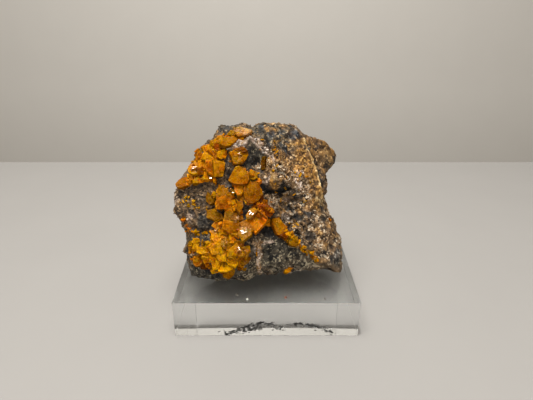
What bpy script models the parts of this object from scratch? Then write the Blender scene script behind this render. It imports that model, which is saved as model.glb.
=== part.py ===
"""A wulfenite specimen: orange wulfenite crystals on a rough lump of matrix rock, on a clear acrylic block.

Every length below is in millimetres and is turned to metres where a mesh is made. +Z is up, +Y points to the
back, and the origin is the centre of the block's underside.

The rock is a surface around its own centre, the HEART: each direction from the heart has one distance, which is
where the rounded broken faces of the stone cut it off. What lies on its front is placed by sight: ACROSS and UP
are measured on the plane through the heart that faces the EYE, the point the specimen is set up to be seen from.
"""

import itertools
import math

import bmesh
import bpy
import numpy as np
from mathutils import Vector
from mathutils.bvhtree import BVHTree

MM = 0.001

# The acrylic block
BLOCK_SIDE = 50.0
BLOCK_HEIGHT = 11.0
BLOCK_EDGE = 0.4

# The rock's place, and the point it is shown to
SEAT_GAP = 0.3
CRYSTAL_GAP = 0.5
HEART = np.array([-3.2, 0.0, 31.0])
EYE = np.array([0.0, -110.6, 78.0])

# The rock's outline as the eye sees it, (across, up) from the heart, going round anticlockwise
OUTLINE = [
    (25.4, -12.3), (24.5, -10.9), (23.3, -7.6), (21.4, -5.2), (20.4, -1.8), (20.4, 0.1), (21.2, 2.0),
    (22.4, 7.3), (24.6, 10.3), (24.2, 13.8), (22.0, 16.5), (20.4, 17.0), (15.6, 17.3), (13.7, 19.3),
    (11.3, 21.2), (7.5, 22.1),
    (2.7, 22.4), (-0.7, 20.5), (-3.0, 21.7), (-10.2, 21.4), (-11.7, 19.3), (-13.1, 16.9), (-17.4, 14.5),
    (-18.4, 11.1), (-20.3, 8.2), (-23.6, 3.5), (-24.9, 0.1), (-24.4, -3.7), (-22.4, -6.6), (-21.0, -9.5),
    (-20.3, -12.8), (-21.2, -15.7), (-20.3, -16.8), (-19.8, -21.9), (-18.9, -24.3), (-16.0, -25.5),
    (-10.8, -25.0), (1.7, -24.6), (11.3, -24.3), (15.0, -23.4), (20.9, -23.0), (25.0, -23.6), (25.7, -19.0),
]

# Broken faces of the main mass: (outward normal, distance from the heart)
MASS_FACES = [
    ((-0.30, -0.88, 0.36), 16.0),   # face that carries the crystals
    ((0.42, -0.80, 0.42), 14.8),    # crusted face, front right
    ((0.10, -0.98, -0.12), 19.6),   # dark face under the crystals
    ((-0.38, -0.88, -0.28), 24.0),  # lower left
    ((0.10, -0.45, 0.88), 20.9),    # brow
    ((0.05, 0.25, 0.96), 22.2),     # top
    ((-0.80, -0.10, 0.59), 21.5),   # left shoulder
    ((-0.95, 0.25, -0.10), 23.5),   # left flank
    ((-0.80, 0.60, 0.00), 19.0),
    ((-0.55, 0.60, -0.58), 18.5),
    ((0.90, -0.20, 0.38), 20.5),    # right shoulder
    ((0.93, 0.35, -0.10), 26.5),    # right flank
    ((0.75, 0.66, 0.00), 21.5),
    ((0.50, 0.60, -0.62), 23.0),
    ((0.10, 0.98, 0.15), 15.0),     # back
    ((-0.55, 0.80, 0.25), 16.5),
    ((-0.10, 0.70, 0.70), 18.5),
    ((0.10, 0.95, -0.30), 16.5),
]
# Faces of the knob that stands out behind the right shoulder
KNOB_FACES = [
    ((0.50, -0.80, 0.30), 10.5),
    ((0.10, 0.98, 0.15), 13.0),
    ((0.75, 0.66, 0.00), 27.0),
    ((0.45, 0.20, -0.87), 5.0),
    ((-0.20, 0.30, 0.93), 19.0),
    ((-0.95, 0.10, 0.30), 6.0),
    ((-0.50, -0.30, -0.80), 5.0),
]
EDGE_SHARPNESS = 14.0
OUTLINE_SHARPNESS = 30.0

# Swellings (+) and hollows (-) of the front: (across, up, half width, half height, rise)
FRONT_RELIEF = [
    (0.6, 12.0, 1.9, 2.2, -3.2),     # pocket beside the brow
    (-13.0, -3.0, 2.6, 2.0, -2.2),   # pocket left of the middle
    (-14.5, -12.0, 2.8, 1.4, -2.0),  # slot above the lower crystals
    (4.5, 0.8, 3.2, 1.6, -2.0),      # groove under the crust's knob
    (4.8, -9.8, 2.6, 1.8, -2.6),     # hollow above the dark face
    (5.5, 4.0, 1.8, 1.6, 1.6),       # crust's knob
    (2.0, 14.0, 0.9, 4.0, 1.2),      # rib right of the pocket
    (9.5, 6.0, 3.0, 3.0, 1.4),       # crust
    (8.0, -4.0, 3.5, 3.0, 1.0),
    (17.0, -11.0, 3.5, 3.0, 0.8),
    (-10.0, -17.0, 6.5, 4.0, 2.2),   # mound under the lower crystals
    (-9.0, -2.5, 5.0, 4.0, 1.0),     # swelling under the middle crystals
]

# The crust ends in a ledge over the dark face, which lies back under it and starts right of the lower crystals
LEDGE_START = (4.0, -8.2)
LEDGE_END = (20.5, -21.2)
LEDGE_DEPTH = 1.7
LEDGE_FADE = 0.7
DARK_FACE_START = -1.5

# The wulfenite, one list for each solid of crystals grown together. Each crystal is a thick square plate:
# (across, up, half width, half thickness, tilt, lean, spin). Tilt is the angle between its flat axis and the
# line to the eye, lean is the direction of the picture plane that the axis tilts to (0 right, 90 up), and spin
# turns the plate about its axis
CRYSTALS = {
    "wulfenite_upper_left": [
        (-14.4, 14.5, 1.5, 1.0, 35, 120, 20), (-15.6, 12.3, 1.8, 1.2, 30, 150, 50),
        (-12.0, 9.9, 2.6, 1.6, 25, 60, 12), (-11.0, 7.7, 1.9, 1.4, 40, -20, 5),
        (-13.2, 7.8, 1.9, 1.3, 30, -90, 30), (-17.4, 10.5, 1.9, 1.2, 40, 130, 0),
        (-18.9, 8.4, 1.9, 0.9, 68, 95, 10), (-10.3, 12.7, 1.1, 0.7, 30, -30, 15),
        (-13.5, 11.9, 1.5, 1.2, 30, 90, 40),
    ],
    "wulfenite_top_blades": [
        (-10.0, 16.6, 2.3, 1.0, 68, -70, 20), (-7.0, 16.4, 2.4, 0.9, 62, -60, 45),
        (-4.9, 19.4, 2.3, 0.8, 62, 105, 10), (-2.6, 18.7, 1.6, 0.8, 60, 80, 40),
        (-6.6, 18.1, 1.5, 1.0, 50, 90, 30),
    ],
    "wulfenite_left_edge": [
        (-21.8, 4.4, 2.6, 1.2, 55, 100, 20), (-19.5, 4.9, 1.7, 1.1, 50, 80, 40),
        (-17.4, 5.3, 1.3, 0.8, 45, 60, 10),
    ],
    "wulfenite_upper_middle": [
        (-5.6, 12.6, 2.0, 1.4, 28, 60, 30), (-3.8, 11.7, 1.7, 1.2, 30, -20, 55),
        (-7.0, 12.9, 1.0, 0.7, 40, 140, 10),
    ],
    "wulfenite_middle": [
        (-5.2, 5.8, 2.4, 1.5, 25, 150, 42), (-3.3, 5.3, 2.1, 1.5, 35, 20, 20),
        (-0.6, 6.3, 1.2, 0.9, 30, 60, 45), (-5.4, 2.6, 1.8, 1.2, 35, 100, 15),
        (-7.2, 1.4, 1.2, 0.9, 45, 120, 30), (-1.8, 2.2, 2.1, 1.6, 30, 80, 30),
        (-0.3, 0.0, 2.4, 1.8, 25, 10, 5), (2.0, -1.5, 1.7, 1.3, 35, -20, 20),
        (-10.2, 0.4, 2.2, 1.5, 35, 120, 30), (-8.4, -2.4, 3.2, 2.0, 25, -60, 45),
        (-5.1, -2.1, 1.8, 1.3, 40, 0, 20), (-1.6, -4.6, 1.9, 1.2, 50, 95, 10),
        (1.2, -6.8, 2.6, 1.7, 33, -40, 38), (3.6, -4.0, 2.4, 1.6, 40, 30, 15),
        (4.0, -7.4, 1.6, 1.2, 30, -90, 30), (6.9, -9.0, 2.3, 1.5, 30, -120, 30),
        (9.1, -10.9, 1.6, 1.1, 40, -60, 10), (11.1, -12.8, 1.7, 1.0, 35, -80, 40),
        (-8.7, -5.8, 1.4, 1.0, 45, 100, 10), (-7.2, -7.2, 2.1, 1.4, 35, 60, 25),
        (-9.3, -9.1, 1.7, 1.2, 35, 0, 50), (-5.8, -9.2, 1.9, 1.4, 35, 150, 50),
        (-3.6, -9.8, 2.4, 1.5, 36, 70, 22), (-11.7, -10.9, 2.1, 1.5, 22, -30, 10),
        (-9.5, -13.3, 2.2, 1.5, 30, 60, 30), (-14.7, -16.4, 1.7, 1.2, 35, 90, 20),
        (-18.3, -13.6, 1.4, 1.0, 35, 160, 5), (-17.1, -15.9, 1.8, 1.2, 35, 120, 35),
        (-12.1, -16.0, 2.1, 1.5, 30, 90, 50), (-10.0, -17.5, 2.5, 1.8, 25, 70, 15),
        (-7.3, -13.3, 1.6, 1.1, 40, 60, 40), (-7.4, -16.3, 2.1, 1.4, 35, 20, 10),
        (-4.7, -16.4, 1.9, 1.3, 45, 50, 30), (-11.1, -20.0, 2.1, 1.4, 25, 120, 35),
        (-8.1, -20.3, 2.2, 1.5, 30, 60, 5), (-9.0, -22.6, 1.9, 1.2, 40, -80, 30),
        (-12.9, -21.5, 1.3, 1.0, 35, -120, 15), (-4.0, -19.6, 1.8, 1.1, 35, -20, 45),
        (-17.4, -19.0, 2.0, 1.4, 30, 110, 15), (-20.3, -15.3, 1.3, 0.9, 50, 180, 10),
    ],
    "wulfenite_left_pocket": [(-14.4, -0.7, 1.15, 0.9, 40, 160, 35)],
    "wulfenite_low_pocket": [(-13.5, -5.3, 1.75, 1.4, 30, 100, 20)],
    "wulfenite_rib": [(2.4, 9.9, 1.5, 0.5, 78, 0, 10)],
    "wulfenite_chip": [(9.4, -22.4, 1.0, 0.8, 40, 60, 20)],
    "wulfenite_left_chip": [(-21.7, -6.6, 1.0, 0.8, 45, 180, 20)],
}
# A crystal's outline along its flat axis: (share of the half thickness, share of the half width). One that
# stands on edge shows both its bevels, and one that lies on the rock shows only the outer
FREE_RINGS = [(-1.0, 0.70), (-0.45, 1.0), (0.45, 1.0), (1.0, 0.70)]
SET_RINGS = [(-1.0, 1.0), (0.45, 1.0), (1.0, 0.70)]
FREE_TILT = 55
CORNER_CUT = 0.22
LARGE_CRYSTAL = 2.15
CRYSTAL_RISE = 0.35

# The rock's own roughness: (wave length, height) of each wave, and how much of a wave stands out of the face
WAVES = [(8.5, 1.3), (4.2, 0.65)]
WAVE_RISE = 0.25
UNDERSIDE_HOLLOW = 1.6
HOLLOW_WIDTH = 9.0
ROCK_SUBDIVISIONS = 5
ROCK_KEPT = 0.85

STONE_COLOUR = (0.16, 0.11, 0.075)
WULFENITE_COLOUR = (0.72, 0.30, 0.02)
ACRYLIC_COLOUR = (0.95, 0.96, 0.97)


def unit(vectors):
    """The vectors brought to length one."""
    vectors = np.asarray(vectors, float)
    return vectors / np.linalg.norm(vectors, axis=-1, keepdims=True)


SIGHT = unit(HEART - EYE)
RIGHT = unit(np.cross(SIGHT, (0.0, 0.0, 1.0)))
UP = np.cross(RIGHT, SIGHT)
SIGHT_LENGTH = float(np.linalg.norm(HEART - EYE))


def gradient_noise(points, seed):
    """Smooth noise from about -0.7 to 0.7: the random slopes of the lattice's corners, blended by a quintic."""
    random = np.random.default_rng(seed)
    order = random.permutation(256)
    slopes = unit(random.normal(size=(256, 3)))
    cell = np.floor(points).astype(int)
    local = points - cell
    fade = local**3 * (local * (local * 6.0 - 15.0) + 10.0)
    total = np.zeros(len(points))
    for corner in itertools.product((0, 1), repeat=3):
        x, y, z = (cell + corner).T
        slope = slopes[order[(order[(order[x & 255] + y) & 255] + z) & 255]]
        weight = np.prod(np.where(corner, fade, 1.0 - fade), axis=1)
        total += weight * np.sum(slope * (local - corner), axis=1)
    return total


def outline_radius(angle):
    """Distance from the heart to the outline at an angle of the picture plane."""
    points = np.array(OUTLINE)
    at = np.arctan2(points[:, 1], points[:, 0])
    order = np.argsort(at)
    return np.interp(angle, at[order], np.hypot(*points[order].T), period=2.0 * math.pi)


def soft_reach(cuts, sharpness):
    """The soft minimum of several reaches, each given as one over its length."""
    return np.sum(np.maximum(cuts, 1e-9) ** sharpness, axis=0) ** (-1.0 / sharpness)


def sight_reach(directions):
    """Distance to the cone of sight that runs from the eye through the outline."""
    across, up, away = directions @ RIGHT, directions @ UP, directions @ SIGHT
    rim = outline_radius(np.arctan2(up, across))
    return 1.0 / np.maximum(np.hypot(across, up) / rim - away / SIGHT_LENGTH, 1e-3)


def stone_reach(directions, faces):
    """Distance to the rounded solid that a stone's broken faces enclose."""
    return soft_reach([directions @ unit(normal) / distance for normal, distance in faces], EDGE_SHARPNESS)


def seen_at(points):
    """(across, up) of points, as the eye sees them on the plane through the heart."""
    offset = points - HEART
    shrink = SIGHT_LENGTH / (SIGHT_LENGTH + offset @ SIGHT)
    return offset @ RIGHT * shrink, offset @ UP * shrink


def step(distance, fade):
    """A soft step from 0 to 1 where a distance passes zero."""
    return 1.0 / (1.0 + np.exp(-2.0 * distance / fade))


def dark_face_depth(across, up):
    """How far the dark face lies back: a step along the ledge's line, faded out to the left."""
    along = unit(np.subtract(LEDGE_END, LEDGE_START))
    below = (across - LEDGE_START[0]) * along[1] - (up - LEDGE_START[1]) * along[0]
    return LEDGE_DEPTH * step(below, LEDGE_FADE) * step(across - DARK_FACE_START, 1.0)


def front_relief(points, directions):
    """Sum of the bell-shaped swellings and hollows, faded out where the surface turns away from the eye."""
    across, up = seen_at(points)
    facing = np.clip(0.25 - directions @ SIGHT, 0.0, 0.5) / 0.5
    rise = np.zeros(len(points))
    for x, z, wide, high, height in FRONT_RELIEF:
        rise += height * np.exp(-(((across - x) / wide) ** 2 + ((up - z) / high) ** 2) / 2.0)
    return (rise - dark_face_depth(across, up)) * facing


def roughness(points):
    """The rock's lumps and ledges: ridged waves, of which each finer one is lower."""
    return sum(height * (WAVE_RISE - 2.0 * np.abs(gradient_noise(points / length, 10 + i)))
               for i, (length, height) in enumerate(WAVES))


def rock_points(directions, grown=0.0):
    """The rock's surface in each direction from the heart, grown outwards by a given distance."""
    reach = np.maximum(stone_reach(directions, MASS_FACES), stone_reach(directions, KNOB_FACES))
    reach = soft_reach([1.0 / reach, 1.0 / sight_reach(directions)], OUTLINE_SHARPNESS)
    surface = HEART + directions * reach[:, None]
    reach += front_relief(surface, directions) + roughness(surface) + grown
    surface = HEART + directions * reach[:, None]
    hollow = np.clip(0.6 - 2.5 * gradient_noise(surface / HOLLOW_WIDTH * (1.0, 1.0, 0.0), 5), 0.0, 1.0)
    floor = BLOCK_HEIGHT + SEAT_GAP + UNDERSIDE_HOLLOW * hollow * hollow - grown
    downward = np.maximum(-directions[:, 2], 1e-6)
    reach = np.minimum(reach, (HEART[2] - floor) / downward)
    return HEART + directions * reach[:, None]


def material(name, colour, rough, transmission=0.0, ior=1.5):
    """A plain surface of one colour."""
    made = bpy.data.materials.new(name)
    made.use_nodes = True
    shader = made.node_tree.nodes["Principled BSDF"]
    shader.inputs["Base Color"].default_value = (*colour, 1.0)
    shader.inputs["Roughness"].default_value = rough
    shader.inputs["Metallic"].default_value = 0.0
    shader.inputs["Transmission Weight"].default_value = transmission
    shader.inputs["IOR"].default_value = ior
    return made


def new_object(name, mesh, surface):
    """A mesh as a named object of the scene, with its material."""
    made = bpy.data.objects.new(name, mesh)
    bpy.context.scene.collection.objects.link(made)
    if surface:
        mesh.materials.append(surface)
    return made


def make_helper(obj):
    """Marks an object that only shapes others."""
    obj.hide_render = True
    obj.display_type = "WIRE"


def make_block(surface):
    """The square acrylic block, its edges just broken."""
    shape = bmesh.new()
    bmesh.ops.create_cube(shape, size=1.0)
    bmesh.ops.scale(shape, verts=shape.verts, vec=(BLOCK_SIDE * MM, BLOCK_SIDE * MM, BLOCK_HEIGHT * MM))
    bmesh.ops.translate(shape, verts=shape.verts, vec=(0.0, 0.0, BLOCK_HEIGHT * MM / 2.0))
    mesh = bpy.data.meshes.new("acrylic_block")
    shape.to_mesh(mesh)
    shape.free()
    block = new_object("acrylic_block", mesh, surface)
    edge = block.modifiers.new("broken edges", "BEVEL")
    edge.width = BLOCK_EDGE * MM
    edge.segments = 1
    return block


def make_rock(name, surface, grown=0.0):
    """The rock as an icosphere about the heart whose points are moved out to its surface."""
    shape = bmesh.new()
    bmesh.ops.create_icosphere(shape, subdivisions=ROCK_SUBDIVISIONS, radius=1.0)
    directions = unit(np.array([v.co[:] for v in shape.verts]))
    for vertex, place in zip(shape.verts, rock_points(directions, grown)):
        vertex.co = Vector(place * MM)
    mesh = bpy.data.meshes.new(name)
    shape.to_mesh(mesh)
    shape.free()
    rock = new_object(name, mesh, surface)
    thinned = rock.modifiers.new("fewer faces where it is flat", "DECIMATE")
    thinned.ratio = ROCK_KEPT
    return rock


def ring_corners(half_width):
    """Corners of a crystal's square outline, going round; a large crystal has its corners cut."""
    cut = half_width * CORNER_CUT if half_width >= LARGE_CRYSTAL else 0.0
    corner = [(half_width, half_width - cut), (half_width - cut, half_width)] if cut else [(half_width,) * 2]
    points = []
    for _ in range(4):
        points += corner
        corner = [(-y, x) for x, y in corner]
    return points


def add_crystal(shape, centre, axes, half_width, half_thickness, stands_free):
    """Adds one thick square plate with bevelled edges: its outline carried along its flat axis, ring by ring."""
    rings = []
    for height, inner in (FREE_RINGS if stands_free else SET_RINGS):
        ring = []
        for x, y in ring_corners(half_width):
            place = centre + (axes[0] * x + axes[1] * y) * inner + axes[2] * (height * half_thickness)
            ring.append(shape.verts.new(Vector(place * MM)))
        rings.append(ring)
    shape.faces.new(rings[0][::-1])
    shape.faces.new(rings[-1])
    for low, high in zip(rings, rings[1:]):
        for i, corner in enumerate(low):
            after = (i + 1) % len(low)
            shape.faces.new((corner, low[after], high[after], high[i]))


def crystal_axes(tilt, lean, spin):
    """The two directions across a crystal's plate and its flat axis."""
    tilt, lean, spin = (math.radians(value) for value in (tilt, lean, spin))
    flat = -SIGHT * math.cos(tilt) + (RIGHT * math.cos(lean) + UP * math.sin(lean)) * math.sin(tilt)
    first = unit(np.cross(UP, flat))
    second = np.cross(flat, first)
    turned = first * math.cos(spin) + second * math.sin(spin)
    return turned, np.cross(flat, turned), flat


def seat_on(rock_tree, across, up):
    """Where the line of sight through a place of the picture plane meets the rock."""
    target = HEART + RIGHT * across + UP * up
    hit = rock_tree.ray_cast(Vector(EYE * MM), Vector(unit(target - EYE)))[0]
    return np.array(hit) / MM


def make_crystals(name, rows, rock_tree, rock_cutter, surface):
    """One solid of crystals grown together, cut away where the rock is."""
    shape = bmesh.new()
    for across, up, half_width, half_thickness, tilt, lean, spin in rows:
        centre = seat_on(rock_tree, across, up) - SIGHT * (half_width * CRYSTAL_RISE)
        axes = crystal_axes(tilt, lean, spin)
        add_crystal(shape, centre, axes, half_width, half_thickness, tilt >= FREE_TILT)
    mesh = bpy.data.meshes.new(name)
    shape.to_mesh(mesh)
    shape.free()
    crystals = new_object(name, mesh, surface)
    cut = crystals.modifiers.new("cut by the rock", "BOOLEAN")
    cut.operation = "DIFFERENCE"
    cut.object = rock_cutter
    cut.use_self = True
    return crystals


def clear_scene():
    """Removes every object, so that the specimen stands alone."""
    for obj in list(bpy.data.objects):
        bpy.data.objects.remove(obj, do_unlink=True)


def main():
    """Builds the block, the rock and the crystals."""
    clear_scene()
    make_block(material("clear acrylic", ACRYLIC_COLOUR, 0.03, transmission=1.0, ior=1.49))
    rock = make_rock("matrix_rock", material("matrix rock", STONE_COLOUR, 0.85))
    rock_cutter = make_rock("rock_cutter", None, grown=CRYSTAL_GAP)
    make_helper(rock_cutter)
    corners = [vertex.co for vertex in rock.data.vertices]
    rock_tree = BVHTree.FromPolygons(corners, [face.vertices for face in rock.data.polygons])
    wulfenite = material("wulfenite", WULFENITE_COLOUR, 0.25)
    for name, rows in CRYSTALS.items():
        make_crystals(name, rows, rock_tree, rock_cutter, wulfenite)


main()
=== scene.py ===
"""A wulfenite specimen on its acrylic block: the finishes and the fine shapes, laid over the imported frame.

Lengths are in millimetres and are turned to metres where a mesh is made. +Z is up and +Y points to the back.
The rock is a surface around its HEART: each direction from the heart has one distance. What lies on its front
is placed by sight: ACROSS and UP are measured on the plane through the heart that faces the EYE.
"""

import itertools
import math

import bpy
import numpy as np
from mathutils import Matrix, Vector


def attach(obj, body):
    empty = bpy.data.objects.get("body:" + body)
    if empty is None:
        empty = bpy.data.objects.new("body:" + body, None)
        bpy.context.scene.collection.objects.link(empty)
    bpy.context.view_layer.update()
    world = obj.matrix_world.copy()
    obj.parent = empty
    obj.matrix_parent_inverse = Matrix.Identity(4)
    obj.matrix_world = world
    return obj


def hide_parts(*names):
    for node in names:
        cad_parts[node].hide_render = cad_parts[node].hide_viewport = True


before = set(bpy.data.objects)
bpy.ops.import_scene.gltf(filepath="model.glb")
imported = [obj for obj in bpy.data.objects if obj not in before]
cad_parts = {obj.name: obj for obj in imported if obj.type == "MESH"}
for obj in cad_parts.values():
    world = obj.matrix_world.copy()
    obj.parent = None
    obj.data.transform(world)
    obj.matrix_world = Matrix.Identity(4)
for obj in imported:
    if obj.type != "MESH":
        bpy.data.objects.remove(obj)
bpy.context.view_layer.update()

MM = 0.001
BODY = "root"

# ---------------------------------------------------------------- the rock's shape, and its finer relief

# The rock stands this far above the block, in its solid too
SEAT_GAP = 0.3
BLOCK_HEIGHT = 11.0
HEART = np.array([-3.2, 0.0, 31.0])
# Where the eye is, and the small lamp whose light the glinting faces throw to the eye
EYE = np.array([0.0, -110.6, 78.0])
LAMP = np.array([-30.0, -60.0, 520.0])

# The rock's outline as the eye sees it, (across, up) from the heart, going round anticlockwise
OUTLINE = [
    (25.4, -12.3), (24.5, -10.9), (23.3, -7.6), (21.4, -5.2), (20.4, -1.8), (20.4, 0.1), (21.2, 2.0),
    (22.4, 7.3), (24.6, 10.3), (24.2, 13.8), (22.0, 16.5), (20.4, 17.0), (15.6, 17.3), (13.7, 19.3),
    (11.3, 21.2), (7.5, 22.1),
    (2.7, 22.4), (-0.7, 20.5), (-3.0, 21.7), (-10.2, 21.4), (-11.7, 19.3), (-13.1, 16.9), (-17.4, 14.5),
    (-18.4, 11.1), (-20.3, 8.2), (-23.6, 3.5), (-24.9, 0.1), (-24.4, -3.7), (-22.4, -6.6), (-21.0, -9.5),
    (-20.3, -12.8), (-21.2, -15.7), (-20.3, -16.8), (-19.8, -21.9), (-18.9, -24.3), (-16.0, -25.5),
    (-10.8, -25.0), (1.7, -24.6), (11.3, -24.3), (15.0, -23.4), (20.9, -23.0), (25.0, -23.6), (25.7, -19.0),
]

# Broken faces of the main mass: (outward normal, distance from the heart)
MASS_FACES = [
    ((-0.30, -0.88, 0.36), 16.0), ((0.42, -0.80, 0.42), 14.8), ((0.10, -0.98, -0.12), 19.6),
    ((-0.38, -0.88, -0.28), 24.0), ((0.10, -0.45, 0.88), 20.9), ((0.05, 0.25, 0.96), 22.2),
    ((-0.80, -0.10, 0.59), 21.5), ((-0.95, 0.25, -0.10), 23.5), ((-0.80, 0.60, 0.00), 19.0),
    ((-0.55, 0.60, -0.58), 18.5), ((0.90, -0.20, 0.38), 20.5), ((0.93, 0.35, -0.10), 26.5),
    ((0.75, 0.66, 0.00), 21.5), ((0.50, 0.60, -0.62), 23.0), ((0.10, 0.98, 0.15), 15.0),
    ((-0.55, 0.80, 0.25), 16.5), ((-0.10, 0.70, 0.70), 18.5), ((0.10, 0.95, -0.30), 16.5),
]
# Faces of the knob that stands out behind the right shoulder
KNOB_FACES = [
    ((0.50, -0.80, 0.30), 10.5), ((0.10, 0.98, 0.15), 13.0), ((0.75, 0.66, 0.00), 27.0),
    ((0.45, 0.20, -0.87), 5.0), ((-0.20, 0.30, 0.93), 19.0), ((-0.95, 0.10, 0.30), 6.0),
    ((-0.50, -0.30, -0.80), 5.0),
]
EDGE_SHARPNESS = 14.0
OUTLINE_SHARPNESS = 30.0

# Swellings (+) and hollows (-) of the front: (across, up, half width, half height, rise). They are the
# solid's, but the crust's knob at (5.6, 4.1) is narrower here and stands out further
FRONT_RELIEF = [
    (0.6, 12.0, 1.9, 2.2, -3.2), (-13.0, -3.0, 2.6, 2.0, -2.2), (-14.5, -12.0, 2.8, 1.4, -2.0),
    (4.5, 0.8, 3.2, 1.6, -2.0), (4.8, -9.8, 2.6, 1.8, -2.6), (5.6, 4.1, 1.5, 1.5, 3.0),
    (2.0, 14.0, 0.9, 4.0, 1.2), (9.5, 6.0, 3.0, 3.0, 1.4), (8.0, -4.0, 3.5, 3.0, 1.0),
    (17.0, -11.0, 3.5, 3.0, 0.8), (-10.0, -17.0, 6.5, 4.0, 2.2), (-9.0, -2.5, 5.0, 4.0, 1.0),
]
# The ledge over the dark face: its line, how far the dark face lies back, and how softly it steps
LEDGE_START = (4.0, -8.2)
LEDGE_END = (20.5, -21.2)
LEDGE_DEPTH = 1.7
LEDGE_FADE = 0.7
DARK_FACE_START = -1.5

# The rock's lumps, the solid's too: (wave length, height), and the level that the ridged waves run around
WAVES = [(8.5, 1.3), (4.2, 0.65)]
WAVE_RISE = 0.25
# The underside's hollows: how deep and how wide they are, the share of the depth that the noise runs
# around, and how steeply it moves it
UNDERSIDE_HOLLOW = 1.6
HOLLOW_WIDTH = 9.0
HOLLOW_LEVEL = 0.6
HOLLOW_SLOPE = 2.5

# The finer roughness that the solid leaves out: (wave length, height)
FINE_WAVES = [(2.4, 0.62), (1.2, 0.42), (0.62, 0.22)]
FINE_RISE = 0.30
# Drifts that shift the surface sideways: (length, distance)
SIDEWAYS = [(1.6, 0.45), (0.7, 0.22)]
# Cells along each side of the rock's six grids, and how far the grids are drawn together towards the eye
ROCK_CELLS = 127
FRONT_CLOSER = 0.25
# Where the front gives way to the sides: its relief ends where a direction is this far turned away from the
# eye, and has its full height so much nearer to it, both as cosines
FRONT_TURN = 0.25
FRONT_RAMP = 0.5

# ---------------------------------------------------------------- the minerals and where they lie

# Each finish of the rock: (dark, light, fleck) colours in sRGB hex, the share of flecks, and how rough it
# is beside the others
FINISHES = {
    "brown": ("241a12", "7a5e3e", "a88a64", 0.14, 1.0),
    "strata": ("271e15", "866846", "b89a72", 0.16, 1.0),
    "umber": ("16130e", "483d28", "705836", 0.20, 0.9),
    "limonite": ("46290e", "ac7a30", "cc9a4c", 0.14, 0.6),
    "hematite": ("241710", "8a633c", "b08850", 0.14, 0.7),
    "vein": ("8a6430", "c0a068", "dcc494", 0.30, 0.4),
    "crust": ("28190c", "b8946c", "ead8bc", 0.34, 1.6),
    "dark": ("191714", "6c6454", "b4a88c", 0.22, 0.7),
    "blue": ("161c22", "3a454e", "66727c", 0.10, 0.5),
    # Near-black for pits, grooves and the deepest hollows: painted shade, with the dark of the minerals there
    "pit_shade": ("0d0d0e", "2a2622", "54483a", 0.08, 1.0),
    "pale": ("8c6c58", "e6d0bc", "faf0e6", 0.34, 1.3),
}
FINISH_NAMES = list(FINISHES)
# The roughest of them has the bump texture's full height
ROUGHEST = 1.6
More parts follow.
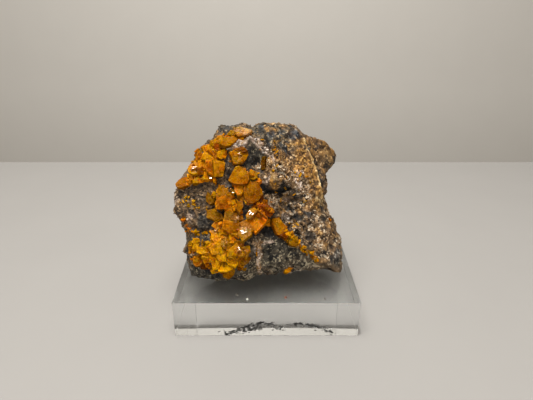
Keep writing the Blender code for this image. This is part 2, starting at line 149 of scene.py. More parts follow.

# The minerals of the front, painted one over the other: (finish, across, up, half length, half width, turn
# in degrees, strength). The pits, and the dark patches on the dark face, along the rock's foot and in its
# hollows, are painted shade as well as dark mineral
FRONT_PATCHES = [
    ("umber", 6.5, 18.0, 10.0, 5.0, -5, 1.0),
    ("umber", -9.5, 19.5, 5.0, 3.0, 20, 0.9),
    ("strata", -19.5, 1.5, 7.0, 5.5, 8, 1.0),
    ("brown", -19.0, -8.0, 5.0, 5.0, 0, 0.8),
    ("crust", 11.0, 4.0, 9.5, 8.5, -20, 1.0),
    ("crust", 14.5, -6.0, 8.5, 8.0, -50, 1.0),
    ("crust", 20.5, -13.5, 6.5, 6.0, -40, 0.9),
    ("limonite", 9.5, 10.5, 7.5, 2.8, -12, 0.65),
    ("limonite", 15.4, 12.0, 8.0, 3.2, -68, 0.95),
    ("limonite", 20.5, 9.0, 9.0, 6.0, -80, 1.0),
    ("hematite", 22.8, 9.4, 4.5, 1.6, -75, 0.6),
    ("hematite", 18.0, 16.6, 2.6, 0.9, -15, 0.8),
    ("hematite", 20.6, 3.0, 4.0, 1.1, -85, 0.9),
    ("limonite", 12.6, 15.8, 3.6, 2.0, -50, 0.85),
    ("limonite", 18.6, -0.5, 6.5, 1.9, -80, 0.75),
    ("dark", 8.5, -18.2, 10.5, 5.6, -14, 1.0),
    ("dark", -15.0, -23.0, 8.0, 3.2, 0, 1.0),
    ("dark", -4.0, -22.4, 6.5, 2.8, 0, 0.9),
    ("dark", -13.8, -7.4, 4.0, 2.2, 10, 0.9),
    ("pit_shade", -14.4, -8.6, 2.8, 1.5, 25, 0.6),
    ("pale", -24.0, -0.9, 1.7, 0.8, 100, 0.3),
    ("dark", -16.5, -12.6, 4.0, 1.6, 0, 0.85),
    ("dark", -0.4, 11.4, 3.4, 3.6, 0, 0.95),
    ("dark", 2.6, -9.8, 3.2, 2.2, -20, 0.9),
    ("pale", 0.6, -14.7, 1.5, 1.0, -20, 0.7),
    ("pale", -4.4, 16.0, 3.2, 1.3, 28, 0.9),
    ("crust", 2.6, 15.0, 4.0, 1.3, -55, 0.85),
    ("crust", 0.9, 9.0, 2.2, 1.0, 0, 0.6),
    ("pale", -19.9, -6.3, 1.7, 1.2, 70, 0.35),
    ("pale", 13.4, 6.6, 1.4, 0.8, -15, 0.9),
    ("pit_shade", -13.0, 10.0, 5.5, 4.2, 40, 0.7),
    ("pit_shade", -4.5, 5.0, 4.5, 3.8, 0, 0.7),
    ("pit_shade", -6.0, -2.5, 7.0, 5.0, -25, 0.75),
    ("pit_shade", -4.0, -9.0, 6.5, 4.0, 10, 0.75),
    ("pit_shade", -9.5, -17.5, 7.0, 5.2, -10, 0.75),
    ("pit_shade", 9.0, -11.5, 5.0, 1.6, -42, 0.7),
    ("pit_shade", 3.6, 2.3, 2.2, 1.2, -15, 1.0),
    ("pit_shade", 7.4, 1.6, 2.8, 1.0, 5, 1.0),
    ("pit_shade", 8.2, 3.4, 0.9, 1.5, 10, 0.9),
    ("limonite", 5.7, 4.1, 2.1, 1.9, 30, 1.0),
    ("vein", 5.6, 5.3, 1.2, 0.8, 30, 0.45),
    ("pale", 12.9, 2.8, 1.9, 0.5, 80, 0.8),
    ("pale", 3.4, 4.8, 1.6, 0.6, 40, 0.7),
    ("pit_shade", 12.6, -0.2, 1.9, 0.8, -10, 0.8),
    ("pit_shade", 12.7, -6.3, 2.0, 1.2, -30, 0.95),
    ("pit_shade", 8.2, -3.0, 1.6, 0.6, -35, 0.8),
    ("pit_shade", 16.6, -12.3, 1.9, 1.5, -20, 0.9),
    ("pit_shade", 19.9, 4.6, 2.6, 1.0, -75, 0.7),
    ("pit_shade", 3.4, 15.8, 2.2, 0.7, -60, 0.7),
    ("pit_shade", -1.2, 10.8, 2.6, 1.7, 10, 0.9),
    ("pit_shade", 3.2, -9.0, 2.6, 1.0, -30, 0.9),
    ("pit_shade", 3.4, -10.6, 3.6, 2.1, -10, 0.95),
    ("pit_shade", 7.4, -13.1, 2.6, 0.9, -35, 0.9),
    ("pit_shade", -16.0, -12.4, 3.2, 0.7, -5, 0.9),
    ("pit_shade", -12.6, -8.2, 2.4, 0.8, 20, 0.8),
    ("blue", 12.0, 18.3, 1.7, 1.3, 0, 1.0),
    ("blue", 9.3, 13.7, 1.0, 0.9, 0, 0.9),
    ("blue", 15.9, -5.8, 1.3, 0.8, -60, 0.8),
    ("blue", 24.2, -18.6, 2.6, 1.3, 80, 0.8),
    ("limonite", 19.5, -19.8, 2.2, 0.8, 0, 0.7),
    ("hematite", 23.4, -9.4, 3.0, 1.0, -68, 0.8),
    ("hematite", 21.5, -13.8, 3.4, 1.8, -65, 0.45),
    ("pale", 10.6, -23.1, 2.4, 0.5, 3, 0.9),
    ("pit_shade", -15.5, -23.6, 7.5, 1.7, 0, 0.6),
    ("umber", 0.9, 17.4, 1.6, 1.1, 0, 0.8),
    ("pale", 0.5, -15.6, 1.3, 1.4, -10, 0.75),
    ("pale", 8.9, -6.6, 1.3, 1.0, -45, 0.6),
    ("vein", 19.4, -1.7, 1.4, 1.2, -80, 0.7),
    ("pit_shade", -15.7, -7.1, 1.7, 1.4, 0, 0.8),
    ("crust", 8.6, -1.6, 1.5, 1.2, 0, 0.9),
    ("pale", 8.8, -1.4, 1.0, 0.7, 30, 0.4),
    ("pit_shade", 11.5, 0.8, 1.7, 1.2, 0, 0.75),
    ("umber", 11.3, 14.6, 1.5, 1.2, 0, 0.6),
    ("umber", 10.8, 17.2, 1.6, 1.2, 0, 0.6),
    ("pit_shade", -15.7, -1.7, 1.5, 1.3, 0, 0.6),
    ("brown", 14.2, 3.8, 1.4, 1.2, 0, 0.6),
    ("vein", 21.9, 12.4, 2.0, 0.9, -60, 0.6),
    ("limonite", 22.8, 13.6, 2.6, 1.6, -60, 0.7),
]
# Veins that cross the front: (finish, half width, how far it stands out, its course as (across, up)). The
# sunken ones of pit shade are grooves whose near-black is painted shade
VEINS = [
    ("vein", 0.20, 0.35, [(14.4, 17.0), (15.9, 13.3), (17.4, 9.6), (18.3, 7.0), (19.1, 3.6), (19.7, 1.0),
                          (20.0, -1.4)]),
    ("crust", 0.60, 0.4, [(0.2, -13.4), (0.9, -15.2), (1.1, -17.4), (0.5, -19.6), (0.9, -22.6)]),
    ("pale", 0.10, 0.3, [(0.3, -13.6), (0.8, -15.4), (1.2, -17.2), (0.6, -19.4), (0.8, -22.4)]),
    ("pale", 0.10, 0.3, [(-0.2, -14.2), (0.5, -16.2), (0.8, -18.0), (0.2, -20.4)]),
    ("crust", 0.50, 0.4, [(-0.8, -14.0), (0.9, -13.9), (2.0, -14.1)]),
    ("pale", 0.14, 0.4, [(2.6, -14.0), (3.7, -14.0), (4.9, -13.7)]),
    ("limonite", 0.35, 0.3, [(6.6, -11.9), (10.2, -14.6), (13.4, -15.6), (16.0, -17.4), (19.5, -19.8)]),
    ("pale", 0.30, 0.4, [(11.6, 4.6), (12.4, 3.6), (13.0, 2.2)]),
    ("pale", 0.22, 0.5, [(-1.6, 17.6), (-0.6, 15.9), (1.0, 14.6), (2.4, 12.8), (4.2, 12.0), (5.4, 10.6)]),
    ("pale", 0.20, 0.5, [(-0.9, 16.6), (0.9, 16.9), (1.9, 15.2), (3.8, 13.2)]),
    ("crust", 0.24, 0.4, [(-7.0, 14.4), (-4.6, 15.2), (-2.6, 16.7), (-1.4, 18.6)]),
    ("crust", 0.22, 0.4, [(3.6, 9.9), (2.6, 8.8), (0.9, 8.7), (-0.6, 8.3)]),
    ("pit_shade", 0.30, -0.5, [(15.2, 16.0), (17.0, 12.2), (18.3, 8.8), (19.4, 5.2), (20.2, 2.2)]),
    ("pit_shade", 0.40, -0.6, [(1.8, 3.4), (2.6, 2.0), (4.4, 1.2), (6.8, 1.2), (9.2, 1.6), (10.4, 2.4)]),
    ("pit_shade", 0.35, -0.5, [(-0.2, -11.4), (2.4, -9.0), (4.8, -9.2), (6.2, -11.6), (8.2, -13.4), (9.6, -14.8)]),
]
# How the veins waver, as (length, distance), and how soft their edges are
VEIN_WARP = (1.5, 0.45)
VEIN_EDGE = 0.15
# Finishes that run through others in veins and blots: (host, guest, length of the pattern, level, strength)
STAINS = [
    ("crust", "limonite", 2.6, 0.08, 0.75), ("crust", "brown", 1.9, 0.16, 0.9),
    ("umber", "limonite", 3.0, 0.18, 0.8), ("umber", "blue", 2.4, 0.24, 0.7),
    ("limonite", "brown", 2.4, 0.14, 0.8), ("strata", "brown", 2.2, 0.12, 0.7),
    ("dark", "umber", 1.4, 0.26, 0.6), ("hematite", "limonite", 2.0, 0.10, 0.7),
    ("umber", "dark", 1.8, 0.10, 0.6),
]
# The stains' finer pattern, as (length, share), and how soft their edges are
STAIN_DETAIL = (0.8, 0.35)
STAIN_EDGE = 0.08
# The strata's own ledges: how long and how thick the layers are, and how far they stand out. The finer
# waves are lower on them by a share, and the layers are turned by an angle
LAYERS = (5.0, 0.55, 0.60)
LAYERS_SMOOTHER = 0.72
LAYER_TILT = 0.12
# The layers' colours: drawn out along the layers while thin across them
LAYER_STRETCH = (0.3, 0.3, 2.4)
# How soft the patches' edges are, and how their outlines waver: (length, distance)
PATCH_EDGE = 0.16
PATCH_WARPS = [(2.6, 1.3), (0.9, 0.6)]
# The minerals of the other sides, over brown: (finish, level of the noise that it takes), the lengths of
# the two noises, the finer one's share and how soft their edges are
OTHER_SIDES = [("umber", 0.02), ("limonite", 0.16), ("dark", 0.12), ("crust", 0.20)]
OTHER_LENGTHS = (11.0, 3.5)
OTHER_DETAIL = 0.4
OTHER_EDGE = 0.12
# Where the front's patches give way to the minerals of the other sides, and how that line wavers: (length,
# share)
FRONT_LIMIT = 0.10
FRONT_FADE = 0.25
FRONT_WARP = (5.0, 0.2)


# ---------------------------------------------------------------- the wulfenite

# One list for each solid of crystals grown together. Each crystal is a plate: (tone, light, tilt, lean,
# rise, corners of its face as (across, up)). Tone runs from 0 deep orange to 1 yellow, and light is how
# clear and bright it is, partly painted light and shade: brighter for a plate that stands more lit, darker
# for one in shade. Tilt is the angle between its flat axis and the line to the eye, lean is the direction
# of the plane that faces the eye to which the axis tilts (0 right, 90 up), and rise is how far its face
# stands out from the solid rock
CRYSTALS = {
    "wulfenite_upper_left": [
        (0.80, 0.95, 24, 110, 1.3, [(-15.9, 14.8), (-14.3, 15.7), (-12.7, 15.7), (-12.3, 14.4),
            (-13.5, 13.1), (-15.3, 12.9)]),
        (1.00, 0.35, 30, 140, 1.0, [(-17.3, 13.5), (-15.9, 14.3), (-15.1, 13.2), (-15.6, 11.8),
            (-17, 11.9)]),
        (0.85, 0.95, 22, 80, 1.5, [(-15.7, 13.1), (-13.8, 13.5), (-12, 12.6), (-12.1, 11.1), (-14.6, 10.8),
            (-16.2, 11.3)]),
        (0.50, 1.10, 18, -60, 1.8, [(-15, 10.7), (-12.3, 11), (-11.6, 8.6), (-12.1, 6.2), (-14.3, 7.1),
            (-15.2, 8.6)]),
        (0.80, 0.80, 22, 10, 1.8, [(-12.6, 11.1), (-9, 10.1), (-9.2, 8.4), (-9.7, 6), (-12.2, 5.9)]),
        (0.75, 1.10, 28, 140, 1.3, [(-18.6, 10.3), (-18.1, 11.2), (-16.6, 11.5), (-15.5, 10.9),
            (-14.9, 9.6), (-16, 8.6), (-17.9, 8.8)]),
        (0.95, 1.05, 24, 110, 1.4, [(-20.4, 8.5), (-19.5, 9.2), (-17.5, 9.1), (-16.8, 8.1), (-17.2, 6.9),
            (-18.8, 6.7), (-20.2, 7.4)]),
        (0.85, 1.70, 26, 100, 0.8, [(-20.6, 6.9), (-19.4, 6.8), (-19.5, 5.8), (-20.4, 5.7)]),
        (0.95, 1.15, 22, 20, 1.0, [(-11.2, 13.4), (-9.1, 14.4), (-8.5, 13.7), (-9, 11.9), (-10.2, 11.1),
            (-11.4, 11.8)]),
        (0.10, 0.80, 30, -80, 0.6, [(-12.3, 15.9), (-8.7, 15.2), (-8.9, 14.1), (-10.4, 13.4),
            (-12.2, 13.6)]),
        (1.00, 0.20, 24, 110, 1.1, [(-14, 6.1), (-13.2, 6.4), (-12.7, 5.7), (-13.3, 5.1), (-14, 5.3)]),
        (1.00, 0.60, 24, 110, 0.8, [(-12.5, 4.4), (-11.9, 4.6), (-11.6, 4), (-12.2, 3.7)]),
        (0.70, 1.35, 25, 60, 0.8, [(-13, 5.4), (-11.9, 5.6), (-11.6, 4.6), (-12.6, 4.3)]),
        (1.00, 0.20, 30, -90, 1.0, [(-14.6, 7.4), (-12.4, 6.6), (-12.6, 5.6), (-14.4, 6.2)]),
    ],
    "wulfenite_top_blades": [
        (0.85, 0.75, 30, 100, 1.4, [(-12.4, 17.1), (-11.5, 17.8), (-9.9, 18), (-9.3, 17.1), (-10.8, 16),
            (-12.2, 16)]),
        (0.80, 0.65, 24, 70, 1.6, [(-9.9, 17.4), (-6.6, 18), (-5, 17.6), (-5.8, 16.3), (-7.3, 15.4),
            (-9, 15.1), (-10.7, 15.8)]),
        (1.00, 0.45, 26, 110, 1.0, [(-8.6, 18.5), (-7.4, 19.9), (-6, 20), (-5.5, 18.6), (-7, 18.1)]),
        (0.90, 0.30, 26, 86, 1.1, [(-6.6, 20.7), (-4.4, 20.9), (-1, 19.9), (-0.7, 19.2), (-3, 18.7),
            (-6.2, 18.9)]),
        (0.60, 0.50, 24, 110, 1.7, [(-6.1, 18.9), (-1.2, 19.4), (-2.3, 18.5), (-5.2, 17.9)]),
    ],
    "wulfenite_left_edge": [
        (0.60, 0.60, 24, 110, 1.4, [(-24.1, 3.9), (-23, 5.2), (-21.2, 6), (-19.8, 5.9), (-18.6, 5.1),
            (-18.9, 4.1), (-20.6, 3.3), (-22.4, 2.8), (-23.8, 3)]),
        (1.00, 0.70, 26, 70, 1.3, [(-18.9, 5), (-17.6, 5.8), (-16.2, 5.9), (-16.1, 4.9), (-17.5, 4.1),
            (-18.8, 4.1)]),
    ],
    "wulfenite_upper_middle": [
        (0.70, 0.65, 20, 60, 1.4, [(-7.9, 13.3), (-6.7, 13.8), (-3.4, 14), (-2.1, 12.7), (-2.6, 11.3),
            (-3.7, 10.1), (-5, 9.8), (-6.6, 9.9), (-7.1, 11.8)]),
        (0.55, 0.35, 24, 110, 1.2, [(-6.6, 14.3), (-3.6, 15), (-2.4, 13.7), (-4, 13), (-6.6, 13.2)]),
        (1.00, 0.55, 24, 110, 1.6, [(-5.4, 13.4), (-4.3, 13.6), (-4, 12.4), (-5.2, 12.2)]),
    ],
    "wulfenite_middle": [
        (0.65, 0.65, 18, 120, 1.8, [(-6.1, 8.9), (-4.9, 9.2), (-3.4, 7.9), (-2.1, 7), (-2, 5.2),
            (-2.6, 3.8), (-4.5, 3.6), (-6.6, 3.8), (-8.3, 4.8), (-7.2, 7)]),
        (1.00, 0.60, 24, 60, 1.1, [(-2.1, 7.2), (-0.7, 7.8), (0.6, 7), (0.6, 5.6), (-0.5, 4.9),
            (-1.9, 5.3)]),
        (0.50, 1.20, 24, 100, 1.3, [(-6.7, 3.6), (-4.2, 3.9), (-3.5, 2), (-4.2, 0.4), (-5.6, 0.2),
            (-6.3, 1.5)]),
        (1.00, 0.20, 24, 110, 1.2, [(-7.6, 1.9), (-6.5, 2.3), (-5.9, 1.2), (-6.6, 0.4), (-7.5, 0.8)]),
        (0.55, 0.50, 20, 30, 1.9, [(-3.4, 3.4), (-1.8, 4.2), (0.6, 3.9), (1.9, 2), (2.2, 0.6), (0.8, -1.4),
            (-1, -2.3), (-2.5, -2), (-3.3, -0.6), (-3.6, 1.4)]),
        (0.00, 0.20, 30, -30, 1.0, [(2.2, 0.7), (2.6, -2), (2, -3.5), (0.5, -3.3), (-1, -2.4),
            (0.8, -1.2)]),
        (0.65, 0.55, 24, 140, 1.6, [(-11.1, 3.8), (-10, 2.4), (-8.6, 2.2), (-7.8, 0.3), (-9.4, -1.2),
            (-12, -1), (-11.8, 0.8)]),
        (0.55, 0.95, 16, -60, 2.1, [(-9.9, 0.1), (-7.9, 0.2), (-6.1, -1.2), (-5.2, -3.2), (-5.4, -4.8),
            (-7.6, -4.2), (-9.9, -3.8), (-12.1, -3.9), (-12.3, -2.3), (-11.5, -0.8)]),
        (0.65, 0.50, 26, 40, 1.6, [(-6, -0.5), (-5.3, -1.4), (-4, -1.4), (-3.7, -3), (-4.9, -5.1),
            (-5.8, -3.6), (-5.4, -2.2)]),
        (1.00, 1.70, 22, 80, 1.1, [(-3.6, -0.9), (-2.9, -0.8), (-2.5, -2), (-3.2, -2.2)]),
        (0.70, 0.40, 24, 110, 1.4, [(-9.4, -4.4), (-7.8, -4.3), (-5.8, -4.9), (-4.9, -6.2), (-5.2, -7.7),
            (-6.8, -8.1), (-8.9, -7.8), (-9.7, -6.6)]),
        (0.60, 1.00, 20, -70, 1.5, [(-9.9, -7.3), (-7.4, -7.5), (-5, -7.7), (-4.5, -9.3), (-6, -10.9),
            (-8, -11.1), (-10.2, -9.7)]),
        (0.75, 1.05, 26, 100, 1.5, [(-14.3, -10.3), (-12.3, -9.8), (-10.2, -9.1), (-9.4, -10.2),
            (-10.1, -12.4), (-10.5, -14.3), (-12.5, -14), (-13.5, -12.8), (-13.6, -11)]),
        (0.80, 0.75, 24, 110, 2.1, [(-3.1, -5.7), (-1.8, -3.8), (-0.4, -3.4), (0.4, -4.3), (-1.4, -6.3),
            (-2.9, -6.7)]),
        (0.40, 1.40, 28, 95, 3.0, [(0.8, -4.2), (2.4, -5.6), (3.5, -6.6), (2.9, -8), (1.2, -9.7),
            (-0.3, -11.2), (-1.4, -9.8), (-2.3, -8.4), (-3.2, -7.1), (-1.5, -6.4)]),
        (0.60, 0.65, 24, 100, 3.0, [(0.9, -3.8), (0.6, -3.6), (-1.6, -6.2), (-1.4, -6.5)]),
        (0.45, 0.80, 24, 100, 3.0, [(0.7, -4), (3.2, -6.2), (3.1, -6.5), (0.6, -4.3)]),
        (0.55, 0.55, 24, 110, 2.3, [(-5.2, -8), (-3.3, -7.1), (-1.8, -8.2), (-0.6, -10), (-1.2, -10.7),
            (-2.6, -9.6), (-4.4, -9.1)]),
        (0.95, 0.65, 24, 110, 2.5, [(-5.8, -11.2), (-4.4, -8.8), (-2.4, -9), (-1.2, -10.2), (-1.5, -11.6),
            (-4.2, -13.6)]),
        (0.05, 0.50, 24, -20, 0.9, [(0.8, -2.7), (3.2, -2.4), (4.6, -3.4), (5.1, -5.7), (4.2, -6.5),
            (2.6, -5.9), (1.5, -4.7), (0.7, -3.6)]),
        (0.60, 1.70, 24, 90, 1.4, [(2.5, -8.6), (3.6, -7), (4.2, -6.4), (5.3, -6.5), (5.2, -8.4),
            (3.9, -9)]),
        (0.65, 0.70, 22, 30, 1.6, [(5, -6.8), (7, -6.3), (8, -8.1), (9.5, -9.4), (8.6, -10.6), (7, -12),
            (6.3, -11.6), (5.5, -9.8), (4.8, -8.4)]),
        (0.25, 0.30, 28, 30, 1.2, [(7.1, -11.8), (8.8, -10.7), (9.7, -10.7), (11.2, -11.6), (9.5, -12.8),
            (8.8, -12.9)]),
        (0.85, 0.45, 22, 60, 1.4, [(9.3, -12.9), (10.8, -11.9), (12.5, -12.3), (12.8, -13.8), (12.1, -15.1),
            (11, -15.2), (9.9, -14.6), (9.8, -13.6)]),
        (0.85, 0.85, 22, 110, 1.4, [(-19.1, -12.3), (-17.2, -12.4), (-17.1, -14.2), (-17.6, -15.9),
            (-19.4, -15.7), (-18.9, -14)]),
        (1.00, 1.00, 24, 90, 1.3, [(-18, -14.9), (-16.2, -15.1), (-14.2, -14.9), (-13.6, -16.2),
            (-14.3, -17.1), (-16.6, -17.2), (-18, -16.7)]),
        (0.95, 0.40, 34, 180, 0.9, [(-20.8, -14.4), (-20.1, -13.2), (-19.2, -13.8), (-19.1, -15.9),
            (-20.3, -16.5)]),
        (0.70, 0.70, 22, 130, 1.3, [(-19.1, -18.2), (-18.5, -17.1), (-17.1, -17.3), (-16.3, -18.6),
            (-16.1, -19.7), (-17.2, -20.7), (-18.4, -21), (-19.1, -20)]),
        (0.20, 0.20, 30, -90, 0.9, [(-17.6, -20.4), (-14.8, -20.3), (-14.8, -21.9), (-16.7, -21.9)]),
        (1.00, 0.20, 26, 60, 0.7, [(-16.1, -13.4), (-14.8, -13.1), (-14.2, -14.4), (-15.4, -15),
            (-16.2, -14.6)]),
        (0.85, 0.95, 16, 120, 1.8, [(-14.2, -15.4), (-12.6, -14), (-10.8, -13.8), (-10.5, -15.5),
            (-9.7, -16.8), (-10.8, -17.9), (-13.6, -17.3)]),
        (0.80, 1.05, 20, 50, 2.0, [(-11.2, -15.9), (-9.5, -15.8), (-8.8, -17.5), (-9.1, -19.7),
            (-11.1, -19.5), (-12.1, -18.3)]),
        (0.85, 1.15, 20, 180, 1.8, [(-13.9, -18.3), (-11.3, -18.2), (-10.9, -19.8), (-11.3, -21.8),
            (-13.2, -22.3), (-13.6, -20)]),
        (0.90, 1.70, 22, 100, 1.8, [(-11.6, -19.5), (-9.2, -19.8), (-7.3, -20.7), (-7.2, -21.8),
            (-9, -22.6), (-11.6, -22.5)]),
        (0.95, 1.20, 28, -60, 1.1, [(-13.9, -22.4), (-13.1, -21.8), (-11.3, -22.1), (-11.4, -22.9),
            (-13.4, -23.4)]),
        (0.85, 0.95, 26, 60, 1.3, [(-10.1, -23.2), (-8.8, -22.3), (-6.8, -22.3), (-6.8, -23.6),
            (-8.2, -24.7), (-9.8, -24.1)]),
        (0.85, 0.50, 22, 70, 1.5, [(-10.4, -13.2), (-8.9, -12.1), (-7.4, -13.1), (-6.4, -14.6),
            (-7.8, -16.1), (-9.9, -15.7), (-10.6, -14.6)]),
        (1.00, 1.10, 28, 60, 1.0, [(-8.2, -10.9), (-7.3, -11.3), (-6.2, -13.5), (-6.9, -13.9),
            (-8.2, -12.8)]),
        (0.85, 0.80, 20, 20, 1.7, [(-8.3, -16.1), (-6.2, -14.3), (-4.8, -14.5), (-4.3, -16.2), (-5.6, -18),
            (-7.4, -18.7), (-8.9, -18.1)]),
        (0.75, 1.10, 24, 110, 1.6, [(-5.2, -14.8), (-2.1, -14.9), (-2, -16.4), (-3.6, -17.7), (-5.4, -18.3),
            (-5.9, -16.8)]),
        (1.00, 1.50, 22, 80, 1.4, [(-8.8, -18.2), (-6.2, -18.6), (-5.5, -20.2), (-6.4, -21.5),
            (-8.6, -20.5), (-9.4, -19.2)]),
        (0.70, 0.40, 26, 20, 1.0, [(-4.5, -18.5), (-2.9, -17.9), (-1.6, -18.6), (-2.4, -20.1), (-3.8, -21),
            (-4.7, -20.2)]),
        (0.60, 0.45, 28, 60, 0.9, [(-5.9, -20.5), (-3.8, -20.7), (-4.5, -22.1), (-5.4, -21.9)]),
    ],
    "wulfenite_left_pocket": [
        (0.85, 0.35, 24, 140, 0.9, [(-15, 0.2), (-14.4, 1.6), (-13.6, 1.2), (-12.2, -0.2), (-12.7, -1.9),
            (-14, -2.4), (-15, -1.4)]),
    ],
    "wulfenite_low_pocket": [
        (0.80, 0.45, 22, 110, 1.4, [(-14.8, -4.2), (-12.3, -3.5), (-11.6, -4.6), (-10.3, -5.2),
            (-9.7, -6.6), (-11.2, -7.4), (-12.3, -7.8), (-13.2, -6.9), (-14.9, -6.3)]),
        (0.95, 0.75, 24, 110, 1.6, [(-12.6, -4.2), (-11.9, -4), (-11.5, -4.8), (-12.2, -5.2)]),
    ],
    "wulfenite_rib": [
        (0.80, 0.20, 26, 160, 1.0, [(1.9, 11.8), (2.9, 12), (2.7, 10), (2.8, 8), (1.6, 7.9), (1.5, 9.8)]),
    ],
    "wulfenite_chip": [
        (0.70, 1.15, 30, 60, 0.9, [(8.5, -23), (8.6, -22.2), (9.5, -21.9), (9.8, -20.9), (10.2, -21.9),
            (10.3, -22.9), (9.4, -23.3)]),
    ],
    "wulfenite_left_chip": [
        (0.60, 0.20, 30, 150, 0.7, [(-22.4, -6.6), (-21.9, -5.8), (-21.2, -6.2), (-21, -7.2),
            (-21.8, -7.6)]),
    ],
}
# A plate from its foot to the middle of its face: (share of the outline, height over the face in mm)
PLATE_PROFILE = [
    (0.85, -2.0), (1.0, -1.6), (1.0, -0.5), (1.0, -0.10), (0.975, -0.015), (0.94, 0.0), (0.80, 0.0),
    (0.785, 0.05), (0.60, 0.05), (0.585, 0.10), (0.30, 0.10),
]
# The share of its outline where a plate's terraces begin, and how far they lie off its middle
TERRACES = 0.79
TERRACE_SHIFT = 0.10
# How high a plate's terraces are beside the profile's: below 0 they are sunk into the face
TERRACE_HEIGHTS = (-0.4, 1.2)
# Places along each side of a plate's outline, closer to its corners
SIDE_PLACES = [0.0, 0.08, 0.36, 0.64, 0.92]
# Thinner plates grown on a plate: how many for its area in square mm, their share of its size, how far they
# rise
PLATE_PER_AREA = 0.20
GROWN_SIZE = (0.30, 0.60)
GROWN_RISE = (0.10, 0.30)
# Where a grown plate has its middle, from the plate's middle to one of its corners, how many degrees it
# tilts off the plate, and its light beside the plate's
GROWN_OFF_MIDDLE = 0.75
GROWN_TILT = 3.0
GROWN_LIGHT = (0.85, 1.1)
# How a plate's face waves: (wave length, height)
FACE_WAVES = [(1.7, 0.020), (0.6, 0.010)]
# Small faces that throw the small lamp's light to the eye: (solid, across, up, half width and half height
# of the patch, number, largest half size, how far they stand out from the plate behind them)
GLINTS = [
    ("wulfenite_upper_left", -18.6, 8.7, 1.3, 0.25, 7, 0.45, 0.8),
    ("wulfenite_upper_left", -13.4, 5.7, 0.2, 0.2, 2, 0.42, 0.6),
    ("wulfenite_upper_left", -12.1, 4.2, 0.15, 0.15, 1, 0.34, 0.6),
    ("wulfenite_upper_left", -16.2, 10.6, 0.5, 0.2, 1, 0.25, 0.6),
    ("wulfenite_upper_middle", -4.8, 12.9, 0.15, 0.2, 1, 0.36, 0.6),
    ("wulfenite_middle", -6.8, 1.3, 0.25, 0.25, 3, 0.36, 0.8),
    ("wulfenite_middle", -7.6, 2.2, 0.3, 0.15, 1, 0.30, 0.8),
    ("wulfenite_middle", -1.6, -5.0, 0.8, 0.8, 9, 0.34, 0.5),
    ("wulfenite_middle", -3.6, -10.4, 1.0, 0.9, 12, 0.40, 0.5),
    ("wulfenite_middle", -12.6, -10.1, 0.9, 0.15, 3, 0.32, 0.8),
    ("wulfenite_middle", -5.9, -6.7, 0.2, 0.5, 2, 0.24, 0.6),
    ("wulfenite_middle", -4.0, -15.8, 1.7, 0.8, 9, 0.28, 1.5),
    ("wulfenite_middle", 6.2, -7.6, 0.3, 0.2, 1, 0.28, 0.6),
    ("wulfenite_middle", 0.3, -5.2, 0.9, 0.5, 2, 0.18, 0.6),
    ("wulfenite_middle", -9.3, -13.9, 0.4, 0.4, 2, 0.24, 1.2),
    ("wulfenite_low_pocket", -12.1, -4.5, 0.2, 0.2, 2, 0.34, 0.6),
    ("wulfenite_chip", 9.8, -21.3, 0.1, 0.1, 1, 0.20, 0.3),
]
# How far a glint stands out from the rock where it has no plate behind it, and how far it turns off the
# mirror's angle
GLINT_ROCK_RISE = 1.4
GLINT_SPREAD = 0.005
# A glint's size as a share of the largest, how much longer than wide it is, how far its corners stray in
# radians, its tone and light, and how little its face waves beside a plate's
GLINT_SIZES = (0.5, 1.0)
GLINT_LENGTH = 1.2
GLINT_STRAY = 0.3
GLINT_TONE = 0.6
GLINT_LIGHT = 1.0
GLINT_WAVES = 0.1
# Painted shade down a plate's side: how much darker it is than its face, and how many mm below the face
# that takes
SIDE_SHADE = 0.50
SIDE_FADE = 0.35

# How yellow the small crystals are, painted in turn: (across, up, radius, tone), from 0 deep orange to 1
# yellow
TONES = [
    (-12.0, 10.0, 9.0, 0.66), (-6.0, 17.5, 6.0, 0.60), (-21.0, 4.5, 4.0, 0.60), (0.5, -3.0, 6.5, 0.45),
    (-8.5, -1.5, 4.5, 0.60), (-1.0, 1.0, 3.0, 0.75), (-9.5, -9.5, 4.5, 0.70), (-10.0, -17.5, 8.5, 0.75),
    (9.5, -11.0, 4.5, 0.70), (-18.5, -14.5, 4.0, 0.85), (-18.0, -19.0, 3.0, 0.55), (-14.0, -3.0, 4.0, 0.90),
    (2.4, 10.5, 2.5, 0.95),
]
TONE_ELSEWHERE = 0.65
# How far the tone of a grown plate and of a small crystal strays from its place's
TONE_SPREAD = 0.08
SMALL_TONE_SPREAD = 0.12
# Where a thin pale skin lies on the wulfenite, painted in turn: (across, up, radius, share). Around the
# glints its paleness is painted sheen as well as skin
FROST_AND_SHEEN = [
    (-2.8, 20.4, 2.2, 0.85), (-5.2, 19.9, 1.3, 0.60), (-18.6, 8.9, 1.6, 0.35), (-1.8, -5.0, 1.9, 0.40),
    (-3.4, -10.4, 2.2, 0.40), (-5.7, -7.0, 1.2, 0.40), (-12.4, -9.9, 1.4, 0.35), (-4.4, -16.0, 2.2, 0.25),
    (-3.6, -2.0, 1.2, 0.35), (-5.0, 11.0, 1.4, 0.25), (-8.8, 2.2, 1.4, 0.25), (-9.6, -14.0, 1.5, 0.3),
]

